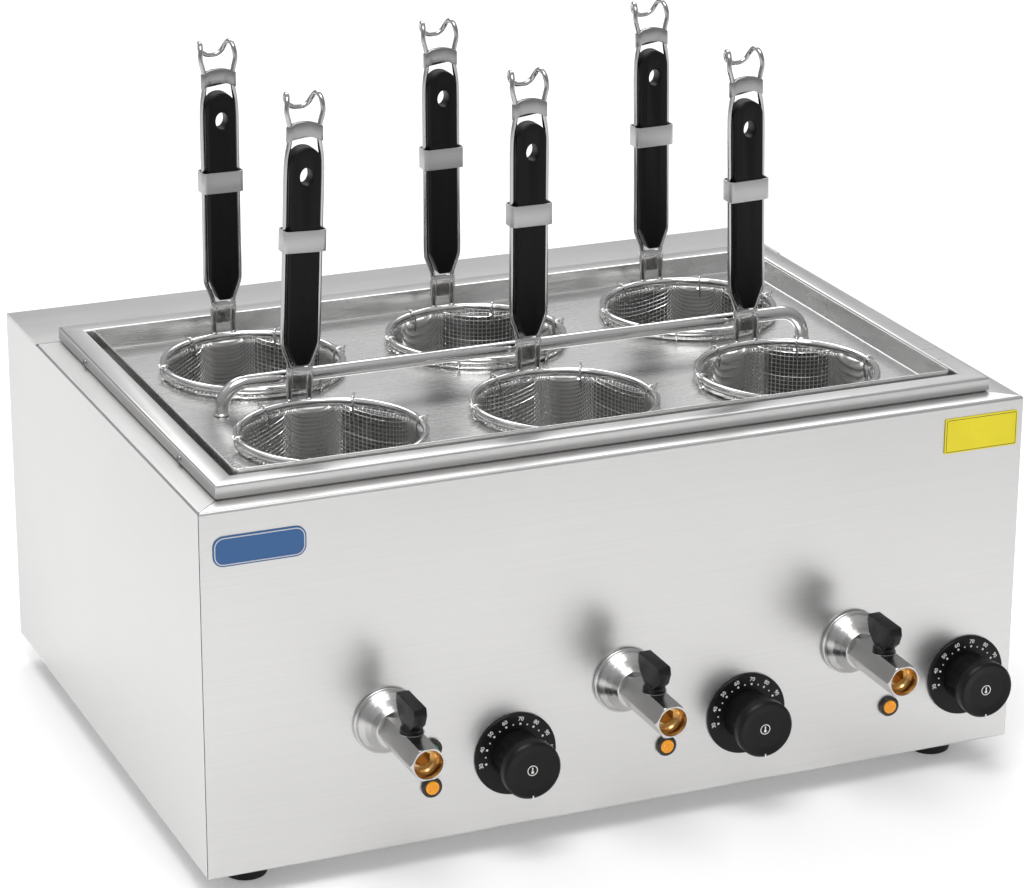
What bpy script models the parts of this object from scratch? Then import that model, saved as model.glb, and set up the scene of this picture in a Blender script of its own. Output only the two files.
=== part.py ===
"""Countertop pasta cooker: a folded steel case with three water basins and six lift-out baskets.

Blender 4.5 script. Lengths are in metres, +Z is up, +X is to the right and +Y is to the rear.
The origin is the centre of the object's bounding box, at the level that its feet stand on.
The case pieces are modelled in the case frame: x from the middle of the case, y from its front
face and z from its lower edge. The empty named case puts that frame in the world.
"""
import math

import bmesh
import bpy
from mathutils import Matrix, Vector

MM = 0.001

# Sheet metal, clearances and cutter lengths
SHEET = 1.2 * MM
GAP = 0.3 * MM
WELD_DEPTH = 0.3 * MM
OVERRUN = 6.0 * MM
MERGE_DISTANCE = 0.003 * MM

# Basket rings and their places in the tray
RING_RADIUS = 64.0 * MM
RING_WIRE_RADIUS = 2.5 * MM
COLUMN_SPACE = 37.0 * MM
ROW_SPACE = 27.0 * MM
SIDE_SPACE = 23.8 * MM
FRONT_SPACE = 1.8 * MM
REAR_SPACE = 16.8 * MM
COLUMNS = 3
ROWS = 2

# Basket bowl
BOWL_DEPTH = 125.0 * MM
BOWL_WALL = 1.2 * MM
BOWL_CORNER_RADIUS = 34.0 * MM
HOOP_RADIUS = 1.5 * MM
HOOP_OVERLAP = 2.8 * MM
HOOP_EDGE = 0.8 * MM

# Clips that tie the bowl's hoop to the ring
CLIP_COUNT = 6
CLIP_START_SHARE = -0.01
CLIP_WIRE_RADIUS = 0.8 * MM
CLIP_LEG = 11.0 * MM
CLIP_SHOULDER = 0.8 * MM

# Basket handle, heights above the tray plate
HANDLE_WIRE_RADIUS = 1.7 * MM
NECK_HALF_WIDTH = 7.0 * MM
NECK_TOP = 32.0 * MM
FLARE_RISE = 15.0 * MM
GRIP_LENGTH = 147.5 * MM
GRIP_START = 33.5 * MM
GRIP_HALF_WIDTH = 10.3 * MM
GRIP_TIP_HALF_WIDTH = 4.2 * MM
GRIP_TAPER = 14.5 * MM
GRIP_THICKNESS = 12.0 * MM
GRIP_EDGE_RADIUS = 2.5 * MM
HANG_HOLE_HALF_WIDTH = 4.5 * MM
HANG_HOLE_HALF_HEIGHT = 6.0 * MM
HANG_HOLE_DROP = 19.5 * MM
BAND_START = 77.5 * MM
BAND_HEIGHT = 14.7 * MM
BAND_WALL = 0.9 * MM
BRIDGE_RISE = 2.5 * MM
BRIDGE_HEIGHT = 10.0 * MM
BRIDGE_ARCH = 3.6 * MM
BRIDGE_HALF_THICKNESS = 2.3 * MM
HOOK_BULGE = 2.4 * MM
HOOK_RISE = 21.0 * MM
HOOK_DEPTH = 14.5 * MM
CLAMP_START = 15.5 * MM
CLAMP_HEIGHT = 14.5 * MM
CLAMP_HALF_THICKNESS = 2.4 * MM

# Bends of the hanging hook, as shares of its half width, its depth and its rise
HOOK_SHARES = (
    (1.0, 0.0, 0.5),
    (0.9, 0.15, 0.9),
    (0.87, 0.5, 1.0),
    (0.73, 0.9, 0.75),
    (0.48, 1.0, 0.52),
    (0.0, 1.0, 0.48),
)

# Tray that carries the baskets
TRAY_GAP = 4.0 * MM
TRAY_SINK = 14.0 * MM
TRAY_LIP_PROUD = 1.5 * MM
TRAY_CORNER_RADIUS = 4.0 * MM
HOLE_CLEARANCE = 0.7 * MM
BAIL_TUBE_RADIUS = 4.75 * MM
BAIL_HEIGHT = 21.0 * MM
BAIL_BEND = 18.0 * MM
BAIL_OVERHANG = 50.0 * MM
BAIL_OFFSET = -3.0 * MM

# Rim round the tank mouth
RIM_MARGIN = 17.0 * MM
RIM_STRIP = 15.0 * MM
RIM_HEIGHT = 10.0 * MM
RIM_SHADOW = 1.2 * MM
RIM_LEDGE = 8.0 * MM
REAR_SHELF = 76.0 * MM

# Water basins and their heating elements
BASIN_FLOOR_RISE = 80.0 * MM
WATER_BELOW_BOWL = 40.0 * MM
BASIN_INSET = 2.0 * MM
BASIN_SPACE = 2.0 * MM
BASIN_CORNER_RADIUS = 12.0 * MM
ELEMENT_RADIUS = 4.0 * MM
ELEMENT_RISE = 20.0 * MM
ELEMENT_HALF_WIDTH = 44.0 * MM
ELEMENT_BEND = 30.0 * MM
ELEMENT_FRONT_ROOM = 45.0 * MM
ELEMENT_TAIL = 14.0 * MM
ELEMENT_FLANGE_MARGIN = 14.0 * MM
ELEMENT_FLANGE_THICKNESS = 3.0 * MM

# Case bends, bottom plate and feet
BEND_RADIUS = 2.0 * MM
BOTTOM_RETURN = 12.0 * MM
PAN_INSET_X = 82.0 * MM
PAN_INSET_Y = 30.0 * MM
PAN_DROP = 13.5 * MM
PAN_CORNER_RADIUS = 12.0 * MM
FOOT_HEIGHT = 18.0 * MM
FOOT_RADIUS = 15.5 * MM
FOOT_TIP_RADIUS = 14.0 * MM
FOOT_EDGE = 2.0 * MM
FOOT_INSET = 38.0 * MM
STUD_RADIUS = 4.0 * MM
STUD_RISE = 7.0 * MM

# Control stations on the front panel, places measured from each station's centre
STATION_SPREAD = 2.2 * MM
TAP_SHIFT = -1.5 * MM
LAMP_SHIFT = 29.5 * MM
DIAL_SHIFT = 88.0 * MM
DIAL_RISE = 52.0 * MM
AMBER_RISE = 38.5 * MM
GREEN_RISE = 65.4 * MM

# Drain tap, from the panel outwards
TAP_LIFT = 2.8 * MM
SPIGOT_RADIUS = 8.4 * MM
FLANGE_RADIUS = 22.5 * MM
FLANGE_STEP = 4.0 * MM
DOME_LENGTH = 18.0 * MM
DOME_TIP_RADIUS = 12.5 * MM
DOME_SHOULDER_SHARE = 0.55
BODY_RADIUS = 12.0 * MM
BODY_LENGTH = 42.0 * MM
OUTLET_RADIUS = 10.3 * MM
OUTLET_LENGTH = 14.0 * MM
BORE_RADIUS = 7.4 * MM
BORE_DEPTH = 24.0 * MM
LEVER_SETBACK = 27.0 * MM
LEVER_STEM_RADIUS = 3.0 * MM
LEVER_STEM_DEPTH = 3.0 * MM
LEVER_COLLAR_RADIUS = 7.5 * MM
LEVER_COLLAR_HEIGHT = 3.0 * MM
LEVER_HALF_LENGTH = 16.5 * MM
LEVER_HALF_THICKNESS = 4.4 * MM
LEVER_HEIGHT = 19.0 * MM
LEVER_EDGE = 1.2 * MM

# Outline of the wing lever, as shares of its half length and its height
LEVER_SHARES = ((0.36, 0.0), (0.8, 0.3), (1.0, 0.72), (0.92, 1.0))

# Thermostat, its dial plate and its knob
DIAL_RADIUS = 28.5 * MM
DIAL_THICKNESS = 1.8 * MM
SPINDLE_RADIUS = 3.0 * MM
SPINDLE_REACH = 12.0 * MM
KNOB_BASE_RADIUS = 17.0 * MM
KNOB_RADIUS = 19.8 * MM
KNOB_LENGTH = 28.5 * MM
KNOB_EDGE = 1.0 * MM
KNOB_RIM = 2.0 * MM
KNOB_DISH = 0.8 * MM
THERMOSTAT_WIDTH = 40.0 * MM
THERMOSTAT_DEPTH = 28.0 * MM
THERMOSTAT_HEIGHT = 35.0 * MM

# Pilot lamps
BEZEL_RADIUS = 7.0 * MM
BEZEL_PROUD = 2.4 * MM
BEZEL_EDGE_SHARE = 0.6
LENS_RADIUS = 4.6 * MM
LENS_PROUD = 1.4 * MM
LENS_SHOULDER_SHARES = (0.8, 0.6)
LAMP_BARREL_RADIUS = 4.8 * MM
LAMP_BARREL_LENGTH = 16.0 * MM

# Cable gland on the rear panel
GLAND_REACH = 22.0 * MM
GLAND_NUT_RADIUS = 12.0 * MM
GLAND_NUT_LENGTH = 7.0 * MM
GLAND_DOME_RADIUS = 9.5 * MM
GLAND_TIP_RADIUS = 6.5 * MM
GLAND_STEM_RADIUS = 8.0 * MM
GLAND_STEM_LENGTH = 10.0 * MM
GLAND_BORE_RADIUS = 4.0 * MM
GLAND_INSET_X = 90.0 * MM
GLAND_RISE = 42.0 * MM

# Blank badge and blank plate on the front
BADGE_WIDTH = 61.0 * MM
BADGE_HEIGHT = 20.0 * MM
BADGE_INSET = 8.7 * MM
BADGE_DROP = 17.0 * MM
BADGE_CORNER_RADIUS = 7.0 * MM
PLATE_WIDTH = 55.1 * MM
PLATE_HEIGHT = 24.5 * MM
PLATE_INSET = 4.3 * MM
PLATE_DROP = 9.0 * MM
PLATE_CORNER_RADIUS = 1.5 * MM
LABEL_THICKNESS = 0.6 * MM

# Facets of round pieces, and the angle up to which they are shaded smooth
RING_SEGMENTS = 24
BOWL_SEGMENTS = 16
HOLE_SEGMENTS = 28
ROUND_SEGMENTS = 16
SMALL_SEGMENTS = 10
HEX_SIDES = 6
WIRE_SIDES = 6
CLIP_SIDES = 4
BAIL_SIDES = 10
CORNER_STEPS = 2
ARC_STEPS = 4
SMOOTH_ANGLE = math.radians(35)

# Least share of a face's normal along an axis for the face to count as square to it
SQUARE_SHARE = 0.9

# Derived places, in the case frame
TRAY_EDGE = RIM_MARGIN + RIM_STRIP + TRAY_GAP
TRAY_INSIDE = TRAY_EDGE + SHEET
COLUMN_PITCH = 2 * RING_RADIUS + COLUMN_SPACE
ROW_PITCH = 2 * RING_RADIUS + ROW_SPACE
STATION_PITCH = COLUMN_PITCH + STATION_SPREAD
CASE_WIDTH = 2 * (TRAY_INSIDE + SIDE_SPACE + RING_RADIUS) + (COLUMNS - 1) * COLUMN_PITCH
ROW_START = TRAY_INSIDE + FRONT_SPACE + RING_RADIUS
TRAY_REAR_INSIDE = ROW_START + (ROWS - 1) * ROW_PITCH + RING_RADIUS + REAR_SPACE
RIM_REAR = TRAY_REAR_INSIDE + SHEET + TRAY_GAP + RIM_STRIP
CASE_DEPTH = RIM_REAR + REAR_SHELF
PLATE_TOP = BASIN_FLOOR_RISE + WATER_BELOW_BOWL + BOWL_DEPTH
RIM_TOP = PLATE_TOP + TRAY_SINK
CASE_TOP = RIM_TOP - RIM_HEIGHT
LEDGE_TOP = PLATE_TOP - SHEET - GAP
TAP_RISE = BASIN_FLOOR_RISE + SPIGOT_RADIUS + TAP_LIFT
TAP_REACH = DOME_LENGTH + BODY_LENGTH + OUTLET_LENGTH
HALF_WIDTH = CASE_WIDTH / 2
FRONT_PLACE = (TAP_REACH - CASE_DEPTH - GLAND_REACH) / 2
UPSTAND_OUTER = RIM_MARGIN + SHEET + GAP
UPSTAND_INNER = UPSTAND_OUTER + SHEET
UPSTAND_TOP = RIM_TOP - SHEET - GAP
SHELF_EDGE = RIM_REAR - UPSTAND_INNER + RIM_MARGIN
BASIN_EDGE = RIM_MARGIN + RIM_STRIP + BASIN_INSET
BASIN_REAR = RIM_REAR - RIM_STRIP - BASIN_INSET
BASIN_WIDTH = (CASE_WIDTH - 2 * BASIN_EDGE - (COLUMNS - 1) * BASIN_SPACE) / COLUMNS
BASIN_TOP = LEDGE_TOP - SHEET - GAP
BOTTOM_LEVEL = SHEET + GAP
BOWL_RADIUS = RING_RADIUS - HOOP_RADIUS - HOOP_OVERLAP
HOLE_RADIUS = BOWL_RADIUS + HOLE_CLEARANCE
RING_CENTRE_RADIUS = RING_RADIUS - RING_WIRE_RADIUS
BOWL_CLEAR_RADIUS = (BOWL_RADIUS - BOWL_WALL) * math.cos(math.pi / BOWL_SEGMENTS)
HOOP_LEVEL = GAP + HOOP_RADIUS
RING_LEVEL = HOOP_LEVEL + HOOP_RADIUS + GAP + RING_WIRE_RADIUS
HANDLE_PLACE = RING_CENTRE_RADIUS + HANDLE_WIRE_RADIUS / 2
HANDLE_HALF_WIDTH = GRIP_HALF_WIDTH + GAP + HANDLE_WIRE_RADIUS
GRIP_TOP = GRIP_START + GRIP_LENGTH
FLARE_TOP = NECK_TOP + FLARE_RISE
BRIDGE_START = GRIP_TOP + BRIDGE_RISE
BRIDGE_TOP = BRIDGE_START + BRIDGE_HEIGHT
BRIDGE_HALF_WIDTH = GRIP_HALF_WIDTH - GAP
BAIL_HALF_SPAN = COLUMN_PITCH * (COLUMNS - 1) / 2 + BAIL_OVERHANG
BAIL_PLACE = ROW_START + ROW_PITCH / 2 + BAIL_OFFSET
KNOB_BACK = GAP + DIAL_THICKNESS + GAP


def clear_scene():
    """Remove whatever the open file holds."""
    for item in list(bpy.data.objects):
        bpy.data.objects.remove(item)


def make_material(name, colour, roughness, metallic):
    """Return a Principled material of one plain finish."""
    material = bpy.data.materials.new(name)
    material.use_nodes = True
    shader = material.node_tree.nodes["Principled BSDF"]
    shader.inputs["Base Color"].default_value = (*colour, 1.0)
    shader.inputs["Roughness"].default_value = roughness
    shader.inputs["Metallic"].default_value = metallic
    material.diffuse_color = (*colour, 1.0)
    return material


def make_materials():
    """Return the finishes of the whole object by name."""
    return {
        "brushed_steel": make_material("brushed_steel", (0.62, 0.61, 0.60), 0.34, 1.0),
        "tray_steel": make_material("tray_steel", (0.50, 0.50, 0.50), 0.24, 1.0),
        "wire_steel": make_material("wire_steel", (0.74, 0.74, 0.73), 0.16, 1.0),
        "chrome": make_material("chrome", (0.80, 0.80, 0.79), 0.12, 1.0),
        "grip_plastic": make_material("grip_plastic", (0.012, 0.012, 0.012), 0.38, 0.0),
        "control_plastic": make_material("control_plastic", (0.015, 0.015, 0.016), 0.32, 0.0),
        "foot_rubber": make_material("foot_rubber", (0.02, 0.02, 0.02), 0.75, 0.0),
        "amber_lens": make_material("amber_lens", (0.85, 0.42, 0.03), 0.2, 0.0),
        "green_lens": make_material("green_lens", (0.03, 0.20, 0.11), 0.2, 0.0),
        "badge_blue": make_material("badge_blue", (0.02, 0.12, 0.34), 0.35, 0.0),
        "plate_yellow": make_material("plate_yellow", (0.92, 0.82, 0.05), 0.45, 0.0),
    }


def loft(sections):
    """Return a bmesh skinned over equal outlines, with both ends capped."""
    bm = bmesh.new()
    rings = [[bm.verts.new(point) for point in section] for section in sections]
    count = len(rings[0])
    for lower, upper in zip(rings, rings[1:]):
        for index in range(count):
            following = (index + 1) % count
            bm.faces.new((lower[index], lower[following], upper[following], upper[index]))
    bm.faces.new(rings[0])
    bm.faces.new(rings[-1])
    bmesh.ops.recalc_face_normals(bm, faces=bm.faces)
    return bm


def box(low, high):
    """Return a bmesh of the block between two corners."""
    corners = [(low[0], low[1]), (high[0], low[1]), (high[0], high[1]), (low[0], high[1])]
    return loft([[(x, y, z) for x, y in corners] for z in (low[2], high[2])])


def rounded_outline(low, high, radius, steps=CORNER_STEPS):
    """Return the points of a rectangle with round corners, in order round it."""
    centres = (
        (high[0] - radius, low[1] + radius, -math.pi / 2),
        (high[0] - radius, high[1] - radius, 0.0),
        (low[0] + radius, high[1] - radius, math.pi / 2),
        (low[0] + radius, low[1] + radius, math.pi),
    )
    points = []
    for centre_x, centre_y, start in centres:
        for step in range(steps + 1):
            angle = start + step / steps * math.pi / 2
            points.append((centre_x + radius * math.cos(angle), centre_y + radius * math.sin(angle)))
    return points


def cup(low, high, radius, wall, floor):
    """Return an open box with round upright corners, from outside base to inside floor."""
    inner_low = (low[0] + wall, low[1] + wall)
    inner_high = (high[0] - wall, high[1] - wall)
    outer = rounded_outline(low, high, radius)
    inner = rounded_outline(inner_low, inner_high, radius - wall)
    levels = ((outer, low[2]), (outer, high[2]), (inner, high[2]), (inner, low[2] + floor))
    return loft([[(x, y, z) for x, y in outline] for outline, z in levels])


def lathe(profile, segments, closed=False):
    """Return a solid turned about Z from (radius, height) points.

    An open profile starts and ends on the axis. A closed one is a ring's section.
    """
    bm = bmesh.new()
    verts = [bm.verts.new((radius, 0.0, height)) for radius, height in profile]
    pairs = list(zip(verts, verts[1:]))
    if closed:
        pairs.append((verts[-1], verts[0]))
    edges = [bm.edges.new(pair) for pair in pairs]
    bmesh.ops.spin(
        bm,
        geom=verts + edges,
        axis=(0.0, 0.0, 1.0),
        cent=(0.0, 0.0, 0.0),
        angle=math.tau,
        steps=segments,
        use_merge=True,
        use_duplicate=False,
    )
    bmesh.ops.remove_doubles(bm, verts=bm.verts, dist=MERGE_DISTANCE)
    bmesh.ops.recalc_face_normals(bm, faces=bm.faces)
    return bm


def turned(bm, angle, axis):
    """Turn a bmesh about an axis through the origin and return it."""
    bmesh.ops.rotate(bm, verts=bm.verts, cent=(0.0, 0.0, 0.0), matrix=Matrix.Rotation(angle, 3, axis))
    return bm


def turned_forward(bm):
    """Turn a solid that was made along Z so that its +Z end points to the front, along -Y."""
    return turned(bm, math.pi / 2, "X")


def moved(bm, offset):
    """Shift a bmesh and return it."""
    bmesh.ops.translate(bm, verts=bm.verts, vec=Vector(offset))
    return bm


def cylinder(radius, start, end, segments=SMALL_SEGMENTS):
    """Return a bmesh cylinder along Z between two heights."""
    return lathe([(0.0, start), (radius, start), (radius, end), (0.0, end)], segments)


def prism(outline, start, end):
    """Return an outline in x and z, drawn out along Y between two places."""
    return loft([[(x, y, z) for x, z in outline] for y in (start, end)])


def wire(points, radius, sides=WIRE_SIDES):
    """Return a bmesh tube along points, made by a bevelled curve with filled caps."""
    curve = bpy.data.curves.new("route", "CURVE")
    curve.dimensions = "3D"
    curve.bevel_depth = radius
    curve.bevel_resolution = (sides - 4) // 2
    curve.use_fill_caps = True
    spline = curve.splines.new("POLY")
    spline.points.add(len(points) - 1)
    for knot, point in zip(spline.points, points):
        knot.co = (*point, 1.0)
    holder = bpy.data.objects.new("route", curve)
    bpy.context.scene.collection.objects.link(holder)
    bpy.context.view_layer.update()
    mesh = bpy.data.meshes.new_from_object(holder.evaluated_get(bpy.context.evaluated_depsgraph_get()))
    bm = bmesh.new()
    bm.from_mesh(mesh)
    bmesh.ops.remove_doubles(bm, verts=bm.verts, dist=MERGE_DISTANCE)
    bmesh.ops.recalc_face_normals(bm, faces=bm.faces)
    bpy.data.objects.remove(holder)
    bpy.data.meshes.remove(mesh)
    return bm


def arc_points(centre, radius, start, sweep, steps):
    """Return (x, z) points on an arc, with both ends."""
    points = []
    for step in range(steps + 1):
        angle = start + sweep * step / steps
        points.append((centre[0] + radius * math.cos(angle), centre[1] + radius * math.sin(angle)))
    return points


def to_mesh(bm, name):
    """Write a bmesh to a new mesh and free it."""
    mesh = bpy.data.meshes.new(name)
    bm.to_mesh(mesh)
    bm.free()
    return mesh


def combine(body, tool, operation):
    """Join a tool to a body's mesh, or cut it out, with an exact Boolean."""
    bodies = [bpy.data.objects.new("boolean", mesh) for mesh in (body, tool)]
    for item in bodies:
        bpy.context.scene.collection.objects.link(item)
    modifier = bodies[0].modifiers.new("boolean", "BOOLEAN")
    modifier.operation = operation
    modifier.solver = "EXACT"
    modifier.object = bodies[1]
    bpy.context.view_layer.update()
    graph = bpy.context.evaluated_depsgraph_get()
    result = bpy.data.meshes.new_from_object(bodies[0].evaluated_get(graph))
    for item in bodies:
        bpy.data.objects.remove(item)
    bpy.data.meshes.remove(tool)
    bpy.data.meshes.remove(body)
    return result


def joined(bm, *others):
    """Return one mesh of several solids fused together."""
    mesh = to_mesh(bm, "joined")
    for other in others:
        mesh = combine(mesh, to_mesh(other, "tool"), "UNION")
    return mesh


def cut(mesh, *cutters):
    """Return a mesh with several solids taken out of it."""
    for cutter in cutters:
        mesh = combine(mesh, to_mesh(cutter, "tool"), "DIFFERENCE")
    return mesh


def dress(mesh, name, material, smooth=True):
    """Name a mesh, give it its finish and shade its round faces smooth."""
    mesh.name = name
    mesh.materials.clear()
    mesh.materials.append(material)
    if smooth:
        mesh.shade_smooth()
        mesh.set_sharp_from_angle(angle=SMOOTH_ANGLE)
    return mesh


def place(name, mesh, location, parent):
    """Add an object for a mesh at a place under its parent."""
    item = bpy.data.objects.new(name, mesh)
    item.location = location
    item.parent = parent
    bpy.context.scene.collection.objects.link(item)
    return item


def add_empty(name, location, parent=None):
    """Add an empty that carries a group of pieces."""
    return place(name, None, location, parent)


def folded_profile(inset_top, upstand):
    """Return the section of a folded panel as (distance inwards, height) points."""
    bend_centre = (BEND_RADIUS, CASE_TOP - BEND_RADIUS)
    bend = arc_points(bend_centre, BEND_RADIUS, math.pi / 2, math.pi / 2, CORNER_STEPS)
    return [
        (0.0, 0.0),
        (BOTTOM_RETURN, 0.0),
        (BOTTOM_RETURN, SHEET),
        (SHEET, SHEET),
        (SHEET, CASE_TOP - SHEET),
        (inset_top, CASE_TOP - SHEET),
        (inset_top, upstand),
        (inset_top - SHEET, upstand),
        (inset_top - SHEET, CASE_TOP),
    ] + bend


def station_places():
    """Return the x of each control station's centre."""
    return [(index - (COLUMNS - 1) / 2) * STATION_PITCH for index in range(COLUMNS)]


def hole_through_panel(x, z, radius, segments=SMALL_SEGMENTS):
    """Return a cutter along Y for a hole in the front panel."""
    bm = turned_forward(cylinder(radius, -OVERRUN, OVERRUN, segments))
    return moved(bm, (x, 0.0, z))


def make_front_panel():
    """Fold the front panel, with mitred ends and the holes of the three control stations."""
    profile = folded_profile(UPSTAND_INNER, UPSTAND_TOP)
    ends = []
    for side in (-1, 1):
        ends.append([(side * (HALF_WIDTH - inward - GAP), inward, z) for inward, z in profile])
    mesh = to_mesh(loft(ends), "front_panel")
    for x in station_places():
        mesh = cut(
            mesh,
            hole_through_panel(x + TAP_SHIFT, TAP_RISE, SPIGOT_RADIUS + GAP, ROUND_SEGMENTS),
            hole_through_panel(x + DIAL_SHIFT, DIAL_RISE, SPINDLE_RADIUS + GAP),
            hole_through_panel(x + LAMP_SHIFT, AMBER_RISE, LAMP_BARREL_RADIUS + GAP),
            hole_through_panel(x + LAMP_SHIFT, GREEN_RISE, LAMP_BARREL_RADIUS + GAP),
        )
    return mesh


def make_side_panel(side):
    """Fold one side panel, mitred at the front, with its top cut down under the rear shelf."""
    profile = folded_profile(UPSTAND_INNER, UPSTAND_TOP)
    front = [(side * (HALF_WIDTH - inward), inward + GAP, z) for inward, z in profile]
    rear = [(side * (HALF_WIDTH - inward), CASE_DEPTH - inward - GAP, z) for inward, z in profile]
    mesh = to_mesh(loft([front, rear]), "side_panel")
    reach = sorted((side * (HALF_WIDTH + OVERRUN), side * (HALF_WIDTH - UPSTAND_INNER - OVERRUN)))
    shelf_seat = box(
        (reach[0], SHELF_EDGE - GAP, CASE_TOP - SHEET - GAP),
        (reach[1], CASE_DEPTH + OVERRUN, UPSTAND_TOP + OVERRUN),
    )
    return cut(mesh, shelf_seat)


def make_rear_panel():
    """Fold the rear panel with its wide shelf, and the hole of the cable gland."""
    profile = [
        (0.0, 0.0),
        (BOTTOM_RETURN, 0.0),
        (BOTTOM_RETURN, SHEET),
        (SHEET, SHEET),
        (SHEET, CASE_TOP - SHEET / 2),
        (0.0, CASE_TOP - SHEET / 2),
    ]
    ends = []
    for side in (-1, 1):
        ends.append([(side * (HALF_WIDTH - inward - GAP), CASE_DEPTH - inward, z) for inward, z in profile])
    shelf = box((-HALF_WIDTH, SHELF_EDGE, CASE_TOP - SHEET), (HALF_WIDTH, CASE_DEPTH, CASE_TOP))
    half_upstand = HALF_WIDTH - UPSTAND_OUTER
    upstand = box(
        (-half_upstand, SHELF_EDGE, CASE_TOP - SHEET / 2),
        (half_upstand, SHELF_EDGE + SHEET, UPSTAND_TOP),
    )
    mesh = joined(loft(ends), shelf, upstand)
    gland_hole = hole_through_panel(gland_place()[0], GLAND_RISE, GLAND_STEM_RADIUS + GAP, ROUND_SEGMENTS)
    return cut(mesh, moved(gland_hole, (0.0, CASE_DEPTH, 0.0)))


def foot_places():
    """Return the x and y of the four feet, front left first."""
    reach = HALF_WIDTH - FOOT_INSET
    return [(x, y) for y in (FOOT_INSET, CASE_DEPTH - FOOT_INSET) for x in (-reach, reach)]


def make_bottom_plate():
    """Make the bottom plate with its sunk pan and the four stud holes."""
    plate_low = (-HALF_WIDTH + BOTTOM_LEVEL, BOTTOM_LEVEL)
    plate_high = (HALF_WIDTH - BOTTOM_LEVEL, CASE_DEPTH - BOTTOM_LEVEL)
    pan_low = (-HALF_WIDTH + PAN_INSET_X, PAN_INSET_Y)
    pan_high = (HALF_WIDTH - PAN_INSET_X, CASE_DEPTH - PAN_INSET_Y)
    radius = PAN_CORNER_RADIUS
    plate = rounded_outline(plate_low, plate_high, BEND_RADIUS)
    pan = rounded_outline(pan_low, pan_high, radius)
    inside = rounded_outline(
        (pan_low[0] + SHEET, pan_low[1] + SHEET),
        (pan_high[0] - SHEET, pan_high[1] - SHEET),
        radius - SHEET,
    )
    levels = (
        (inside, SHEET - PAN_DROP),
        (inside, BOTTOM_LEVEL + SHEET),
        (plate, BOTTOM_LEVEL + SHEET),
        (plate, BOTTOM_LEVEL),
        (pan, BOTTOM_LEVEL),
        (pan, -PAN_DROP),
    )
    mesh = to_mesh(loft([[(x, y, z) for x, y in outline] for outline, z in levels]), "bottom_plate")
    for x, y in foot_places():
        hole = cylinder(STUD_RADIUS + GAP, -OVERRUN, OVERRUN + STUD_RISE)
        mesh = cut(mesh, moved(hole, (x, y, 0.0)))
    return mesh


def make_foot():
    """Turn one rubber foot with its stud, standing on z = 0."""
    seat = FOOT_HEIGHT + BOTTOM_LEVEL - GAP
    profile = [
        (0.0, 0.0),
        (FOOT_TIP_RADIUS - FOOT_EDGE, 0.0),
        (FOOT_TIP_RADIUS, FOOT_EDGE),
        (FOOT_RADIUS, seat - FOOT_EDGE),
        (FOOT_RADIUS, seat),
        (STUD_RADIUS, seat),
        (STUD_RADIUS, seat + STUD_RISE),
        (0.0, seat + STUD_RISE),
    ]
    return to_mesh(lathe(profile, ROUND_SEGMENTS), "foot")


def make_tank_rim():
    """Sweep the rim's folded section round the tank mouth, with mitred corners."""
    profile = [
        (0.0, CASE_TOP + RIM_SHADOW),
        (0.0, RIM_TOP),
        (RIM_STRIP, RIM_TOP),
        (RIM_STRIP, LEDGE_TOP),
        (RIM_STRIP + RIM_LEDGE, LEDGE_TOP),
        (RIM_STRIP + RIM_LEDGE, LEDGE_TOP - SHEET),
        (RIM_STRIP - SHEET, LEDGE_TOP - SHEET),
        (RIM_STRIP - SHEET, RIM_TOP - SHEET),
        (SHEET, RIM_TOP - SHEET),
        (SHEET, CASE_TOP + RIM_SHADOW),
    ]
    half = HALF_WIDTH - RIM_MARGIN
    corners = ((-1, 1), (1, 1), (1, -1), (-1, -1))
    bm = bmesh.new()
    rings = []
    for side, end in corners:
        ring = []
        for inward, z in profile:
            y = RIM_MARGIN + inward if end > 0 else RIM_REAR - inward
            ring.append(bm.verts.new((side * (half - inward), y, z)))
        rings.append(ring)
    count = len(profile)
    for first, second in zip(rings, rings[1:] + rings[:1]):
        for index in range(count):
            following = (index + 1) % count
            bm.faces.new((first[index], first[following], second[following], second[index]))
    bmesh.ops.recalc_face_normals(bm, faces=bm.faces)
    return to_mesh(bm, "tank_rim")


def basin_places():
    """Return the x of each basin's centre."""
    pitch = BASIN_WIDTH + BASIN_SPACE
    return [(index - (COLUMNS - 1) / 2) * pitch for index in range(COLUMNS)]


def make_basin(basin_x, tap_x):
    """Make one open basin with its drain hole and the two holes of its heating element."""
    half = BASIN_WIDTH / 2
    bm = cup(
        (-half, BASIN_EDGE, BASIN_FLOOR_RISE - SHEET),
        (half, BASIN_REAR, BASIN_TOP),
        BASIN_CORNER_RADIUS,
        SHEET,
        SHEET,
    )
    drain = turned_forward(cylinder(SPIGOT_RADIUS + GAP, -OVERRUN, OVERRUN, ROUND_SEGMENTS))
    cutters = [moved(drain, (tap_x - basin_x, BASIN_EDGE, TAP_RISE))]
    for side in (-1, 1):
        port = turned_forward(cylinder(ELEMENT_RADIUS + GAP, -OVERRUN, OVERRUN))
        cutters.append(moved(port, (side * ELEMENT_HALF_WIDTH, BASIN_REAR, element_level())))
    return cut(to_mesh(bm, "basin"), *cutters)


def element_level():
    """Return the height of a heating element's centre line."""
    return BASIN_FLOOR_RISE + ELEMENT_RISE


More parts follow.
